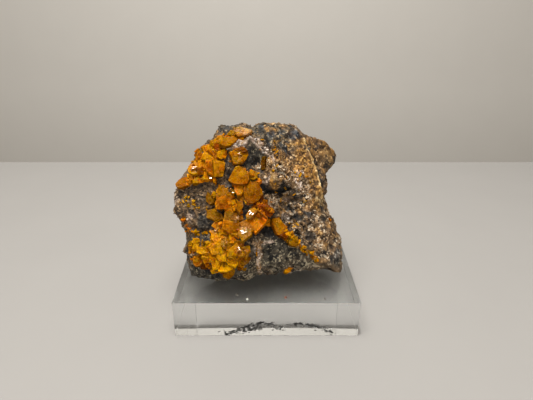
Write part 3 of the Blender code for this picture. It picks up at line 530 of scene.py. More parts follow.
# Small crystals between and around the large ones: (across, up, half length, half width, turn, number,
# smallest and largest half width, how much yellower they are)
SMALL_GROWTHS = [
    (-14.0, 10.5, 7.0, 3.8, 50, 110, 0.25, 1.15, 0.0),
    (-7.0, 17.6, 4.5, 1.2, 12, 20, 0.20, 0.75, 0.0),
    (-20.5, 4.6, 3.3, 1.0, 10, 18, 0.20, 0.75, 0.0),
    (-5.2, 11.6, 2.6, 1.6, 0, 8, 0.20, 0.40, 0.0),
    (-3.0, 4.5, 4.5, 3.4, 0, 45, 0.22, 0.85, 0.0),
    (-6.5, -1.5, 6.5, 4.0, -25, 70, 0.22, 0.90, 0.0),
    (1.5, -4.5, 3.0, 3.5, 0, 40, 0.22, 0.90, 0.0),
    (-7.5, -9.5, 5.5, 3.2, 15, 80, 0.22, 1.00, 0.0),
    (-9.5, -17.5, 6.5, 5.3, -10, 190, 0.25, 1.15, 0.0),
    (-17.5, -16.5, 2.5, 3.0, 0, 26, 0.20, 0.75, 0.0),
    (8.5, -11.0, 5.5, 1.4, -42, 50, 0.20, 0.80, 0.0),
    (15.5, -17.3, 5.5, 0.7, -40, 34, 0.14, 0.40, 0.1),
    (-20.6, -1.7, 2.4, 1.6, -40, 10, 0.16, 0.32, 0.4),
    (-16.5, -3.0, 3.5, 2.0, 0, 8, 0.14, 0.28, 0.4),
    (-16.5, -11.0, 2.6, 0.5, -10, 12, 0.16, 0.40, 0.2),
    (-20.5, -9.0, 3.0, 1.2, -75, 8, 0.18, 0.34, -0.1),
    (10.0, 0.0, 8.0, 10.0, 0, 26, 0.12, 0.24, 0.35),
    (4.0, 14.0, 3.0, 4.0, 0, 10, 0.12, 0.24, 0.35),
    (-3.3, -22.0, 0.3, 0.3, 0, 2, 0.35, 0.45, 0.15),
    (9.6, -22.3, 0.9, 0.5, 30, 8, 0.22, 0.45, -0.1),
    (1.0, -16.0, 1.5, 1.2, 0, 6, 0.14, 0.26, 0.2),
    (22.4, -8.2, 1.8, 0.4, -65, 2, 0.22, 0.36, -0.2),
]
# A small crystal from its foot to its face: (height in mm, share of its width), and how far its face stands
# out
SMALL_RINGS = [(-1.3, 0.8), (-0.10, 1.0), (-0.03, 0.97), (0.0, 0.88)]
SMALL_RISE = (0.35, 1.15)
# How far its face tilts from the line to the eye, its light, its width beside its length, and how near its
# rim all of it is taken to be
SMALL_TILT = (5.0, 60.0)
SMALL_LIGHT = (0.45, 1.15)
SMALL_WIDTH = (0.6, 1.0)
SMALL_RIM = 0.9
# Small sizes are commoner than large ones by this power of a random share
SMALL_SIZES = 1.8


def linear(hex_colour):
    """An sRGB hex colour as linear red, green and blue."""
    values = np.array([int(hex_colour[i:i + 2], 16) for i in (0, 2, 4)]) / 255.0
    return np.where(values <= 0.04045, values / 12.92, ((values + 0.055) / 1.055) ** 2.4)


def unit(vectors):
    """The vectors brought to length one."""
    vectors = np.asarray(vectors, float)
    return vectors / np.linalg.norm(vectors, axis=-1, keepdims=True)


SIGHT = unit(HEART - EYE)
RIGHT = unit(np.cross(SIGHT, (0.0, 0.0, 1.0)))
UP = np.cross(RIGHT, SIGHT)
SIGHT_LENGTH = float(np.linalg.norm(HEART - EYE))


def gradient_noise(points, seed):
    """Smooth noise from about -0.7 to 0.7: the random slopes of the lattice's corners, blended by a
    quintic."""
    random = np.random.default_rng(seed)
    order = random.permutation(256)
    slopes = unit(random.normal(size=(256, 3)))
    cell = np.floor(points).astype(int)
    local = points - cell
    fade = local**3 * (local * (local * 6.0 - 15.0) + 10.0)
    total = np.zeros(len(points))
    for corner in itertools.product((0, 1), repeat=3):
        x, y, z = (cell + corner).T
        slope = slopes[order[(order[(order[x & 255] + y) & 255] + z) & 255]]
        weight = np.prod(np.where(corner, fade, 1.0 - fade), axis=1)
        total += weight * np.sum(slope * (local - corner), axis=1)
    return total


def drift(points, length, seed):
    """Three noises side by side: a smooth field of directions whose pieces are a given length across."""
    return np.stack([gradient_noise(points / length, seed + i) for i in range(3)], axis=1)


def outline_radius(angle):
    """Distance from the heart to the outline at an angle of the plane that faces the eye."""
    points = np.array(OUTLINE)
    at = np.arctan2(points[:, 1], points[:, 0])
    order = np.argsort(at)
    return np.interp(angle, at[order], np.hypot(*points[order].T), period=2.0 * math.pi)


def soft_reach(cuts, sharpness):
    """The soft minimum of several reaches, each given as one over its length."""
    return np.sum(np.maximum(cuts, 1e-9) ** sharpness, axis=0) ** (-1.0 / sharpness)


def sight_reach(directions):
    """Distance to the cone of sight that runs from the eye through the outline."""
    across, up, away = directions @ RIGHT, directions @ UP, directions @ SIGHT
    rim = outline_radius(np.arctan2(up, across))
    return 1.0 / np.maximum(np.hypot(across, up) / rim - away / SIGHT_LENGTH, 1e-3)


def stone_reach(directions, faces):
    """Distance to the rounded solid that a stone's broken faces enclose."""
    return soft_reach([directions @ unit(normal) / distance for normal, distance in faces], EDGE_SHARPNESS)


def seen_at(points):
    """(across, up) of points, as the eye sees them on the plane through the heart."""
    offset = points - HEART
    shrink = SIGHT_LENGTH / (SIGHT_LENGTH + offset @ SIGHT)
    return offset @ RIGHT * shrink, offset @ UP * shrink


def step(distance, fade):
    """A soft step from 0 to 1 where a distance passes zero."""
    return 1.0 / (1.0 + np.exp(np.clip(-2.0 * distance / fade, -60.0, 60.0)))


def dark_face_depth(across, up):
    """How far the dark face lies back: a step along the ledge's line, faded out to the left."""
    along = unit(np.subtract(LEDGE_END, LEDGE_START))
    below = (across - LEDGE_START[0]) * along[1] - (up - LEDGE_START[1]) * along[0]
    return LEDGE_DEPTH * step(below, LEDGE_FADE) * step(across - DARK_FACE_START, 1.0)


def front_share(directions):
    """1 where a direction looks to the eye, down to 0 where it looks away."""
    return np.clip(FRONT_TURN - directions @ SIGHT, 0.0, FRONT_RAMP) / FRONT_RAMP


def front_relief(points, directions):
    """Sum of the bell-shaped swellings and hollows, faded out where the surface turns away from the
    eye."""
    across, up = seen_at(points)
    rise = np.zeros(len(points))
    for x, z, wide, high, height in FRONT_RELIEF:
        rise += height * np.exp(-(((across - x) / wide) ** 2 + ((up - z) / high) ** 2) / 2.0)
    return (rise - dark_face_depth(across, up)) * front_share(directions)


def roughness(points):
    """The rock's lumps and ledges: ridged waves, of which each finer one is lower."""
    return sum(height * (WAVE_RISE - 2.0 * np.abs(gradient_noise(points / length, 10 + i)))
               for i, (length, height) in enumerate(WAVES))


def rock_reach(directions):
    """The solid rock's distance from the heart in each direction, before its underside is cut."""
    reach = np.maximum(stone_reach(directions, MASS_FACES), stone_reach(directions, KNOB_FACES))
    reach = soft_reach([1.0 / reach, 1.0 / sight_reach(directions)], OUTLINE_SHARPNESS)
    surface = HEART + directions * reach[:, None]
    return reach + front_relief(surface, directions) + roughness(surface)


def underside(points):
    """Height of the rock's underside above the ground: flat on the block, with shallow hollows."""
    noise = gradient_noise(points / HOLLOW_WIDTH * (1.0, 1.0, 0.0), 5)
    hollow = np.clip(HOLLOW_LEVEL - HOLLOW_SLOPE * noise, 0.0, 1.0)
    return BLOCK_HEIGHT + SEAT_GAP + UNDERSIDE_HOLLOW * hollow * hollow


def vein_shares(points):
    """The finish and the share of each vein at each point."""
    length, far = VEIN_WARP
    across, up = seen_at(points + far * drift(points, length, 50))
    for finish, wide, _, course in VEINS:
        away = np.full(len(points), np.inf)
        for (x0, z0), (x1, z1) in zip(course[:-1], course[1:]):
            run, climb = x1 - x0, z1 - z0
            along = np.clip(((across - x0) * run + (up - z0) * climb) / (run ** 2 + climb ** 2), 0.0, 1.0)
            away = np.minimum(away, np.hypot(across - x0 - along * run, up - z0 - along * climb))
        yield finish, step(wide - away, VEIN_EDGE)


def lay_over(shares, finish, share):
    """Lays a finish over those that are there, by its share at each point."""
    shares *= (1.0 - share)[:, None]
    shares[:, FINISH_NAMES.index(finish)] += share


def mineral_shares(points, directions):
    """Share of each finish at each point: the patches of the front painted in turn, and on the other
    sides broad drifts of brown, umber, limonite, dark and crust that noise decides."""
    places = points
    for i, (length, far) in enumerate(PATCH_WARPS):
        places = places + far * drift(points, length, 60 + 6 * i)
    across, up = seen_at(places)
    front = np.zeros((len(points), len(FINISH_NAMES)))
    front[:, FINISH_NAMES.index("brown")] = 1.0
    rest = front.copy()
    for finish, x, z, long, wide, turn, strength in FRONT_PATCHES:
        turn = math.radians(turn)
        along = (across - x) * math.cos(turn) + (up - z) * math.sin(turn)
        aside = (up - z) * math.cos(turn) - (across - x) * math.sin(turn)
        lay_over(front, finish, strength * step(1.0 - np.hypot(along / long, aside / wide), PATCH_EDGE))
    for finish, share in vein_shares(points):
        lay_over(front, finish, share)
    fine, fine_share = STAIN_DETAIL
    for i, (host, guest, length, level, strength) in enumerate(STAINS):
        pattern = gradient_noise(points / length, 75 + i)
        pattern = pattern + fine_share * gradient_noise(points / fine, 95 + i)
        moved = front[:, FINISH_NAMES.index(host)] * (strength * step(pattern - level, STAIN_EDGE))
        front[:, FINISH_NAMES.index(host)] -= moved
        front[:, FINISH_NAMES.index(guest)] += moved
    broad, fine = OTHER_LENGTHS
    for i, (finish, level) in enumerate(OTHER_SIDES):
        pattern = gradient_noise(points / broad, 70 + i)
        pattern = pattern + OTHER_DETAIL * gradient_noise(points / fine, 80 + i)
        lay_over(rest, finish, step(pattern - level, OTHER_EDGE))
    length, waver = FRONT_WARP
    seen = -directions @ SIGHT - FRONT_LIMIT + waver * gradient_noise(points / length, 90)
    facing = step(seen, FRONT_FADE)[:, None]
    return front * facing + rest * (1.0 - facing)


def blend_of(shares, column):
    """One column of the finishes' table, blended by the finishes' shares."""
    column = [row[column] for row in FINISHES.values()]
    return shares @ np.array([linear(value) if isinstance(value, str) else [value] for value in column])


def layered_share(shares):
    """How much of each point is the layered brown rock."""
    return shares[:, FINISH_NAMES.index("strata")]


def cavity_shade(cavities, points, relief):
    """Painted light and shade for a place's height, with some dirt in the hollows: brighter on crests and
    lumps, darker in hollows.
    """
    level, for_relief, for_lumps, darkest, brightest = cavities
    return np.clip(level + for_relief * relief + for_lumps * roughness(points), darkest, brightest)[:, None]


def fine_relief(points, shares):
    """Finer ridged waves, higher where the finish is rougher, and the strata's flat-lying ledges."""
    rough = blend_of(shares, 4)[:, 0]
    waves = sum(height * (FINE_RISE - 2.0 * np.abs(gradient_noise(points / length, 30 + i)))
                for i, (length, height) in enumerate(FINE_WAVES))
    long, thick, height = LAYERS
    tilted = points + LAYER_TILT * points[:, :1] * (0.0, 0.0, 1.0)
    ledges = FINE_RISE - 2.0 * np.abs(gradient_noise(tilted / (long, long, thick), 36))
    layered = layered_share(shares)
    return rough * waves * (1.0 - LAYERS_SMOOTHER * layered) + height * ledges * layered


def rock_surface(directions):
    """Fine surface of the rock in each direction: the solid's surface, raised by the finer waves, shifted
    sideways by drifts so that its ledges overhang, and cut flat below. Returns points, shares and fine
    relief."""
    coarse = rock_reach(directions)
    points = HEART + directions * coarse[:, None]
    shares = mineral_shares(points, directions)
    raised = sum(row[2] * share for row, (_, share) in zip(VEINS, vein_shares(points)))
    relief = fine_relief(points, shares) + raised * front_share(directions)
    points = HEART + directions * (coarse + relief)[:, None]
    for i, (length, height) in enumerate(SIDEWAYS):
        points = points + height * drift(points, length, 40 + 3 * i)
    points[:, 2] = np.maximum(points[:, 2], underside(points))
    return points, shares, relief


# ---------------------------------------------------------------- meshes

def mesh_piece(name, points, faces, finish, colours=None, values=None, crease=None):
    """A mesh from points in millimetres and faces of one kind, with its finish, body and
    attributes."""
    mesh = bpy.data.meshes.new(name)
    sides = faces.shape[1]
    mesh.vertices.add(len(points))
    mesh.vertices.foreach_set("co", (points * MM).astype(np.float32).ravel())
    mesh.loops.add(faces.size)
    mesh.loops.foreach_set("vertex_index", faces.astype(np.int32).ravel())
    mesh.polygons.add(len(faces))
    mesh.polygons.foreach_set("loop_start", np.arange(0, faces.size, sides, dtype=np.int32))
    mesh.update(calc_edges=True)
    for attribute, array in (colours or {}).items():
        full = np.ones((len(points), 4), np.float32)
        full[:, :array.shape[1]] = array
        mesh.attributes.new(attribute, "FLOAT_COLOR", "POINT").data.foreach_set("color", full.ravel())
    for attribute, array in (values or {}).items():
        array = array.astype(np.float32)
        mesh.attributes.new(attribute, "FLOAT", "POINT").data.foreach_set("value", array)
    if crease is None:
        mesh.shade_flat()
    else:
        mesh.shade_smooth()
        mesh.set_sharp_from_angle(angle=math.radians(crease))
    mesh.materials.append(finish)
    piece = bpy.data.objects.new(name, mesh)
    bpy.context.scene.collection.objects.link(piece)
    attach(piece, BODY)
    return piece


def ball_grid(cells):
    """Directions and quads of a ball made of six square grids: lines spaced by tangent keep the cells
    even, and the points that the grids share along their seams are merged."""
    line = np.tan(np.linspace(-math.pi / 4.0, math.pi / 4.0, cells + 1))
    a, b = np.meshgrid(line, line, indexing="ij")
    one = np.ones_like(a)
    sides = [(one, a, b), (-one, b, a), (b, one, a), (a, -one, b), (a, b, one), (b, a, -one)]
    directions = unit(np.concatenate([np.stack(side, axis=-1).reshape(-1, 3) for side in sides]))
    index = np.arange((cells + 1) ** 2).reshape(cells + 1, cells + 1)
    quad = np.stack([index[:-1, :-1], index[1:, :-1], index[1:, 1:], index[:-1, 1:]], axis=-1)
    quads = np.concatenate([quad.reshape(-1, 4) + side * (cells + 1) ** 2 for side in range(6)])
    keys = np.round(directions * 1e5).astype(np.int64)
    _, first, merged = np.unique(keys, axis=0, return_index=True, return_inverse=True)
    return directions[first], merged.reshape(-1)[quads]


def closer_in_front(directions):
    """Directions drawn together towards the eye, so that the front has the finer cells."""
    return unit(directions - FRONT_CLOSER * SIGHT)


def make_rock(finish):
    """The rock as one closed surface over the ball's directions."""
    directions, quads = ball_grid(ROCK_CELLS)
    points, shares, relief = rock_surface(closer_in_front(directions))
    # The mineral colours take painted shade in hollows and painted light on crests, with some dirt
    painted_shade = cavity_shade(ROCK_CAVITIES, points, relief)
    colours = {
        "mineral_dark": blend_of(shares, 0) * painted_shade,
        "mineral_light": blend_of(shares, 1) * painted_shade,
        "mineral_fleck": np.hstack([blend_of(shares, 2) * painted_shade, blend_of(shares, 3)]),
    }
    grit = np.clip(blend_of(shares, 4)[:, 0] / ROUGHEST, 0.0, 1.0)
    values = {"crest": relief, "grit": grit, "layered": layered_share(shares)}
    rock = mesh_piece("rock", points, quads, finish, colours, values, crease=180)
    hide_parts("matrix_rock")


# ---------------------------------------------------------------- the wulfenite's crystals

# How far from the eye the rock is looked for, and in what paces, each then halved so many times
SEAT_SEARCH = (84.0, 142.0)
SEAT_PACE = 0.5
SEAT_HALVINGS = 10


def sight_line(across, up):
    """Directions from the eye through places of the plane that faces it."""
    return unit(HEART + np.outer(across, RIGHT) + np.outer(up, UP) - EYE)


def seat(across, up):
    """Where lines of sight first meet the solid rock: walked in even paces, then halved down to the
    surface. Also whether each line meets it at all."""
    lines = sight_line(across, up)
    paces = np.arange(*SEAT_SEARCH, SEAT_PACE)
    places = EYE + lines[:, None, :] * paces[None, :, None]
    inside = inside_rock(places.reshape(-1, 3)).reshape(len(lines), len(paces))
    after = paces[np.argmax(inside, axis=1)]
    before = after - SEAT_PACE
    for _ in range(SEAT_HALVINGS):
        middle = (before + after) / 2.0
        hit = inside_rock(EYE + lines * middle[:, None])
        after, before = np.where(hit, middle, after), np.where(hit, before, middle)
    return EYE + lines * after[:, None], inside.any(axis=1)


def inside_rock(points):
    """Whether points lie within the solid rock's reach."""
    offset = points - HEART
    distance = np.linalg.norm(offset, axis=1)
    return distance < rock_reach(offset / distance[:, None])


def ring_faces(rings, around):
    """Triangles of a closed shape whose rings run between two poles: point 0 and the last point."""
    index = 1 + np.arange(rings * around).reshape(rings, around)
    after = np.roll(index, -1, axis=1)
    low, high, low_after, high_after = index[:-1], index[1:], after[:-1], after[1:]
    walls = np.concatenate([np.stack([low, low_after, high_after], axis=-1).reshape(-1, 3),
                            np.stack([low, high_after, high], axis=-1).reshape(-1, 3)])
    foot = np.stack([np.zeros(around, int), after[0], index[0]], axis=-1)
    top = np.stack([np.full(around, 1 + rings * around), index[-1], after[-1]], axis=-1)
    return np.concatenate([walls, foot, top])


def flat_axis(tilt, lean):
    """The direction square to a plate's face."""
    tilt, lean = math.radians(tilt), math.radians(lean)
    return -SIGHT * math.cos(tilt) + (RIGHT * math.cos(lean) + UP * math.sin(lean)) * math.sin(tilt)


def plate(corners, axis, face_point, random, waves=1.0):
    """One plate whose face has the given corners for the eye: the outline is drawn in towards the middle
    along the profile, its terraces a little off centre, each point is put where its line of sight meets
    the plate's plane, moved along the flat axis to its height, and gently waved. Also how near each point
    is to the rim, and how deep below the face."""
    after = np.roll(corners, -1, axis=0)
    places = np.array(SIDE_PLACES)[None, :, None]
    outline = (corners[:, None] + (after - corners)[:, None] * places).reshape(-1, 2)
    middle = corners.mean(axis=0)
    profile = np.array(PLATE_PROFILE)
    profile[:, 1] *= np.where(profile[:, 1] > 0.0, random.uniform(*TERRACE_HEIGHTS), 1.0)
    shift = TERRACE_SHIFT * random.normal(size=2) * np.abs(outline - middle).mean(axis=0)
    inner = np.concatenate([[0.0], np.repeat(profile[:, 0], len(outline)), [0.0]])
    height = np.concatenate([profile[:1, 1], np.repeat(profile[:, 1], len(outline)), profile[-1:, 1]])
    rings = middle + (outline[None] - middle) * profile[:, 0, None, None]
    flat = np.vstack([middle[None], rings.reshape(-1, 2), middle[None]])
    flat = flat + shift * ((inner < TERRACES) & (height >= 0.0))[:, None]
    lines = sight_line(flat[:, 0], flat[:, 1])
    points = EYE + lines * ((face_point - EYE) @ axis / (lines @ axis))[:, None] + axis * height[:, None]
    points = points + waves * sum(high * drift(points, length, 101 + 4 * i)
                                  for i, (length, high) in enumerate(FACE_WAVES))
    depth = 1.0 - np.exp(np.minimum(height, 0.0) / SIDE_FADE)
    return points, inner * (1.0 - depth), depth, ring_faces(len(profile), len(outline))


def grown_plates(corners, random):
    """Outlines of thinner plates grown on a plate: its own outline, smaller, about a place near its
    rim."""
    after = np.roll(corners, -1, axis=0)
    area = 0.5 * abs(np.sum(corners[:, 0] * after[:, 1] - corners[:, 1] * after[:, 0]))
    for _ in range(random.poisson(area * PLATE_PER_AREA)):
        about = (corners.mean(axis=0) * (1.0 - GROWN_OFF_MIDDLE)
                 + corners[random.integers(len(corners))] * GROWN_OFF_MIDDLE)
        yield about + (corners - about) * random.uniform(*GROWN_SIZE), random.uniform(*GROWN_RISE)


def painted(table, elsewhere, across, up):
    """A value at places as the eye sees them: round patches of a table, painted in turn."""
    value = np.full(np.shape(across), elsewhere)
    for x, z, radius, wanted in table:
        share = step(1.0 - np.hypot(across - x, up - z) / radius, 0.25)
        value = value * (1.0 - share) + wanted * share
    return value


def anticlockwise(corners):
    """An outline's corners in anticlockwise order."""
    after = np.roll(corners, -1, axis=0)
    turning = np.sum(corners[:, 0] * after[:, 1] - corners[:, 1] * after[:, 0])
    return corners if turning > 0.0 else corners[::-1]


def covers(corners, place):
    """Whether an outline goes round a place: a line to its right crosses the outline an odd number of
    times."""
    after = np.roll(corners, -1, axis=0)
    passes = (corners[:, 1] > place[1]) != (after[:, 1] > place[1])
    start, end = corners[passes], after[passes]
    crossing = start[:, 0] + (place[1] - start[:, 1]) * (end[:, 0] - start[:, 0]) / (end[:, 1] - start[:, 1])
    return np.count_nonzero(crossing > place[0]) % 2 == 1


def make_crystals(name, rows, finish, seed):
    """The crystals of one solid, each with the plates grown on it, and its glinting faces, as one
    piece."""
    random = np.random.default_rng(seed)
    plates, planes = [], []
    middles = np.array([np.mean(row[5], axis=0) for row in rows])
    seats = seat(middles[:, 0], middles[:, 1])[0]
    for foot, (tone, light, tilt, lean, rise, corners) in zip(seats, rows):
        corners = anticlockwise(np.array(corners))
        planes.append((corners, flat_axis(tilt, lean), foot - SIGHT * rise))
        plates.append((tone, light, plate(*planes[-1], random)))
        for outline, more in grown_plates(corners, random):
            axis = flat_axis(tilt + random.normal() * GROWN_TILT, lean)
            grown = plate(outline, axis, foot - SIGHT * (rise + more), random)
            plates.append((tone + random.normal() * TONE_SPREAD, light * random.uniform(*GROWN_LIGHT), grown))
    for solid, across, up, wide, high, count, largest, out in GLINTS:
        if solid != name:
            continue
        for _ in range(count):
            place = np.array([across + wide * random.uniform(-1.0, 1.0),
                              up + high * random.uniform(-1.0, 1.0)])
            line = sight_line(place[:1], place[1:])[0]
            depths = [(on_face - EYE) @ axis / (line @ axis) for corners, axis, on_face in planes
                      if covers(corners, place)]
            if depths:
                face_point = EYE + line * (min(depths) - out)
            else:
                face_point = seat(place[:1], place[1:])[0][0] - SIGHT * GLINT_ROCK_RISE
            mirror = unit(unit(EYE - face_point) + unit(LAMP - face_point))
            mirror = unit(mirror + GLINT_SPREAD * random.normal(size=3))
            turn, size = random.uniform(0.0, math.pi), largest * random.uniform(*GLINT_SIZES)
            around = turn + np.array([0.0, 0.5, 1.0, 1.5]) * math.pi
            around = around + random.uniform(-GLINT_STRAY, GLINT_STRAY, 4)
            corners = place + size * np.stack([GLINT_LENGTH * np.cos(around), np.sin(around)], axis=1)
            face = plate(corners, mirror, face_point, random, GLINT_WAVES)
            plates.append((GLINT_TONE, GLINT_LIGHT, face))
    points, faces = joined([(made[0], made[3]) for _, _, made in plates])
    values = {
        "tone": np.concatenate([np.full(len(made[0]), tone) for tone, _, made in plates]),
        # A plate's sides take painted shade below its face
        "light": np.concatenate([light * (1.0 - SIDE_SHADE * made[2]) for _, light, made in plates]),
        "rim": np.concatenate([made[1] for _, _, made in plates]),
        "frost_and_sheen": painted(FROST_AND_SHEEN, 0.0, *seen_at(points)),
    }
    piece = mesh_piece(name + "_crystals", points, faces, finish, values=values)
    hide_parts(name)


def joined(parts):
    """Several sets of points and faces as one."""
    starts = np.cumsum([0] + [len(points) for points, _ in parts[:-1]])
    return (np.vstack([points for points, _ in parts]),
            np.vstack([faces + start for (_, faces), start in zip(parts, starts)]))


def make_small_crystals(finish, seed):
    """Small crystals strewn over the druse: plain plates, each turned its own way about the line of
    sight."""
    random = np.random.default_rng(seed)
    rows = []
    for across, up, long, wide, turn, count, smallest, largest, yellower in SMALL_GROWTHS:
        radius, angle = np.sqrt(random.random(count)), random.uniform(0.0, 2.0 * math.pi, count)
        along, aside = long * radius * np.cos(angle), wide * radius * np.sin(angle)
        turn = math.radians(turn)
        rows.append(np.stack([
            across + along * math.cos(turn) - aside * math.sin(turn),
            up + along * math.sin(turn) + aside * math.cos(turn),
            smallest + (largest - smallest) * random.random(count) ** SMALL_SIZES,
            np.full(count, yellower),
        ], axis=1))
    table = np.vstack(rows)
    seats, met = seat(table[:, 0], table[:, 1])
    table, seats = table[met], seats[met]
    count = len(table)
    tilt = np.radians(random.uniform(*SMALL_TILT, count))
    lean = random.uniform(0.0, 2.0 * math.pi, count)
    flat = unit(-SIGHT * np.cos(tilt)[:, None]
                + (np.outer(np.cos(lean), RIGHT) + np.outer(np.sin(lean), UP)) * np.sin(tilt)[:, None])
    first = unit(np.cross(flat, random.normal(size=(count, 3))))
    axes = np.stack([first, np.cross(flat, first), flat], axis=1)
    corners = np.array([(x * inner, y * inner, height) for height, inner in SMALL_RINGS
                        for x, y in ((1, 1), (-1, 1), (-1, -1), (1, -1))], float)
    shape = np.stack([table[:, 2], table[:, 2] * random.uniform(*SMALL_WIDTH, count), np.ones(count)], axis=1)
    points = (corners[None] * shape[:, None, :]) @ axes + seats[:, None, :]
    points = points - SIGHT * random.uniform(*SMALL_RISE, size=count)[:, None, None]
    index = np.arange(len(SMALL_RINGS) * 4).reshape(-1, 4)
    after = np.roll(index, -1, axis=1)
    walls = np.concatenate([np.stack([index[:-1], after[:-1], after[1:]], axis=-1).reshape(-1, 3),
                            np.stack([index[:-1], after[1:], index[1:]], axis=-1).reshape(-1, 3)])
    ends = np.array([(0, 2, 1), (0, 3, 2)])
    plate = np.concatenate([walls, ends, index[-1][[[0, 1, 2], [0, 2, 3]]]])
    faces = (plate[None] + index.size * np.arange(count)[:, None, None]).reshape(-1, 3)
    tone = painted(TONES, TONE_ELSEWHERE, table[:, 0], table[:, 1]) + table[:, 3]
    tone = tone + random.normal(size=count) * SMALL_TONE_SPREAD
    frost_and_sheen = painted(FROST_AND_SHEEN, 0.0, table[:, 0], table[:, 1])
    light = random.uniform(*SMALL_LIGHT, count)
    mesh_piece("wulfenite_small_crystals", points.reshape(-1, 3), faces, finish,
               values={"tone": np.repeat(tone, index.size), "light": np.repeat(light, index.size),
                       "rim": np.full(count * index.size, SMALL_RIM), "frost_and_sheen": np.repeat(frost_and_sheen, index.size)})


# ---------------------------------------------------------------- the block

BLOCK_SIDE = 50.0
BLOCK_EDGE = 0.06
# Where the rock's foot presses on the block, as (x, y) along each ridge of contact
CONTACT_RIDGES = [
    [(-13.0, -2.9), (-10.3, 0.2), (-6.5, 3.6), (-4.0, 5.0), (-1.9, 6.9), (1.2, 5.4), (4.5, 1.7)],
    [(7.5, 5.3), (11.5, 6.2), (15.0, 4.6), (18.5, 2.8), (20.7, -0.8)],
    [(-8.0, -0.8), (-6.0, 0.8), (-3.4, 2.2), (-2.6, 4.6)],
]
# The spots of contact: how many for each mm of a ridge, how far they stray from its line, their smallest
# and largest half size, and how far they reach into the block and into the rock
CONTACTS_PER_MM = 10.0
CONTACT_SPREAD = 0.9
CONTACT_SIZES = (0.10, 0.34)
CONTACT_DEPTH = 0.02
CONTACT_REACH = 0.4
CONTACT_SHAPE = np.array([1.5, 1.0, 1.0])
# Near white, lighter than the rock's foot that they stand for: painted light, so that spots in the rock's
# shade show grey through the block
CONTACT_COLOUR = "f0f0ee"
CONTACT_BRIGHTNESS = (0.7, 1.0)


def make_block(finish):
    """The acrylic block: a square slab whose edges are only just broken."""
    half = BLOCK_SIDE / 2.0
    points = np.array([(x * half, y * half, z) for x, y in ((-1, -1), (1, -1), (1, 1), (-1, 1))
                       for z in (0.0, BLOCK_HEIGHT)])
    faces = np.array([(0, 2, 3, 1), (2, 4, 5, 3), (4, 6, 7, 5), (6, 0, 1, 7), (0, 6, 4, 2), (1, 3, 5, 7)])
    block = mesh_piece("acrylic_slab", points, faces, finish)
    edge = block.modifiers.new("broken edges", "BEVEL")
    edge.width, edge.segments = BLOCK_EDGE * MM, 3
    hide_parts("acrylic_block")


# ---------------------------------------------------------------- grains

def random_axes(random, count):
    """Random sets of three directions square to each other."""
    first = unit(random.normal(size=(count, 3)))
    second = unit(np.cross(first, random.normal(size=(count, 3))))
    return np.stack([first, second, np.cross(first, second)], axis=1)


# A chip's corners and faces before they are moved, how far its corners stray, and how its proportions vary
CHIP_CORNERS = np.array(list(itertools.product((-1.0, 1.0), repeat=3)))
CHIP_FACES = np.array([
    (0, 1, 3), (0, 3, 2), (4, 6, 7), (4, 7, 5), (0, 4, 5), (0, 5, 1),
    (2, 3, 7), (2, 7, 6), (0, 2, 6), (0, 6, 4), (1, 5, 7), (1, 7, 3),
])
CHIP_STRAY = 0.45
CHIP_SHAPES = (0.7, 0.6)


def chips(random, centres, sizes, shape, axes):
    """Angular chips: a cube's eight corners moved at random, drawn out along three axes and set at each
    centre."""
    least, more = CHIP_SHAPES
    corners = CHIP_CORNERS * (1.0 + CHIP_STRAY * (random.random((len(centres), 8, 3)) - 0.5))
    corners = corners * (shape * (least + more * random.random((len(centres), 1, 3))))
    points = (corners * sizes[:, None, None]) @ axes + centres[:, None, :]
    faces = CHIP_FACES[None] + 8 * np.arange(len(centres))[:, None, None]
    return points.reshape(-1, 3), faces.reshape(-1, 3)


# Grains that stand on the rock: name: (finishes that carry them, share of places taken, number of places
# tried, smallest and largest half size, length, width and thickness beside it, share of light ones)
GRAINS = {
    "crust_grains": (("crust", "pale"), 1.0, 60000, 0.09, 0.30, (2.0, 0.75, 0.45), 0.58),
    "limonite_grains": (("limonite", "hematite"), 0.12, 50000, 0.08, 0.22, (1.5, 1.0, 0.35), 0.40),
    "umber_grains": (("umber", "blue"), 0.15, 50000, 0.08, 0.22, (1.5, 0.9, 0.35), 0.25),
    "brown_grains": (("brown", "strata"), 0.4, 50000, 0.08, 0.22, (2.1, 0.9, 0.3), 0.35),
    "dark_grains": (("dark", "pit_shade"), 0.9, 70000, 0.06, 0.13, (1.3, 1.0, 0.7), 0.30),
}
# No more grains of a kind than keep its piece under 200,000 triangles, twelve for each
GRAINS_AT_MOST = 15800
# Grains stand in clumps: the lengths of two noises, the finer one's share, the level and how soft the edges
# are
CLUMP_LENGTHS = (2.2, 0.9)
CLUMP_DETAIL = 0.5
CLUMP_LEVEL = 0.05
CLUMP_EDGE = 0.12
# How far above the underside they begin, and how much commoner the small ones are
GRAIN_FLOOR = 0.3
GRAIN_SIZES = 2.2
# Near the rock's outline, where the sight line grazes it, the grains are finer
OUTLINE_BAND = 0.35
OUTLINE_FADE = 0.15
# How far a grain of the layered rock turns from the layers, and how much of its size a grain's middle
# stands out
LYING_STRAY = 0.5
GRAIN_RISE = 0.25
# Among light grains the share of flecks, the light share in a dark grain, and how its brightness varies
FLECK_SHARE = 0.35
DARK_LIGHTER = 0.4
GRAIN_BRIGHTNESS = (0.55, 1.2)
# Painted shade in hollows and painted light on crests, with some dirt in the hollows, of the rock and of
# its grains: (level, more for each mm of fine relief, more for each mm of the lumps, darkest, brightest)
ROCK_CAVITIES = (0.84, 1.05, 0.38, 0.10, 1.15)
GRAIN_CAVITIES = (0.82, 0.80, 0.35, 0.20, 1.15)


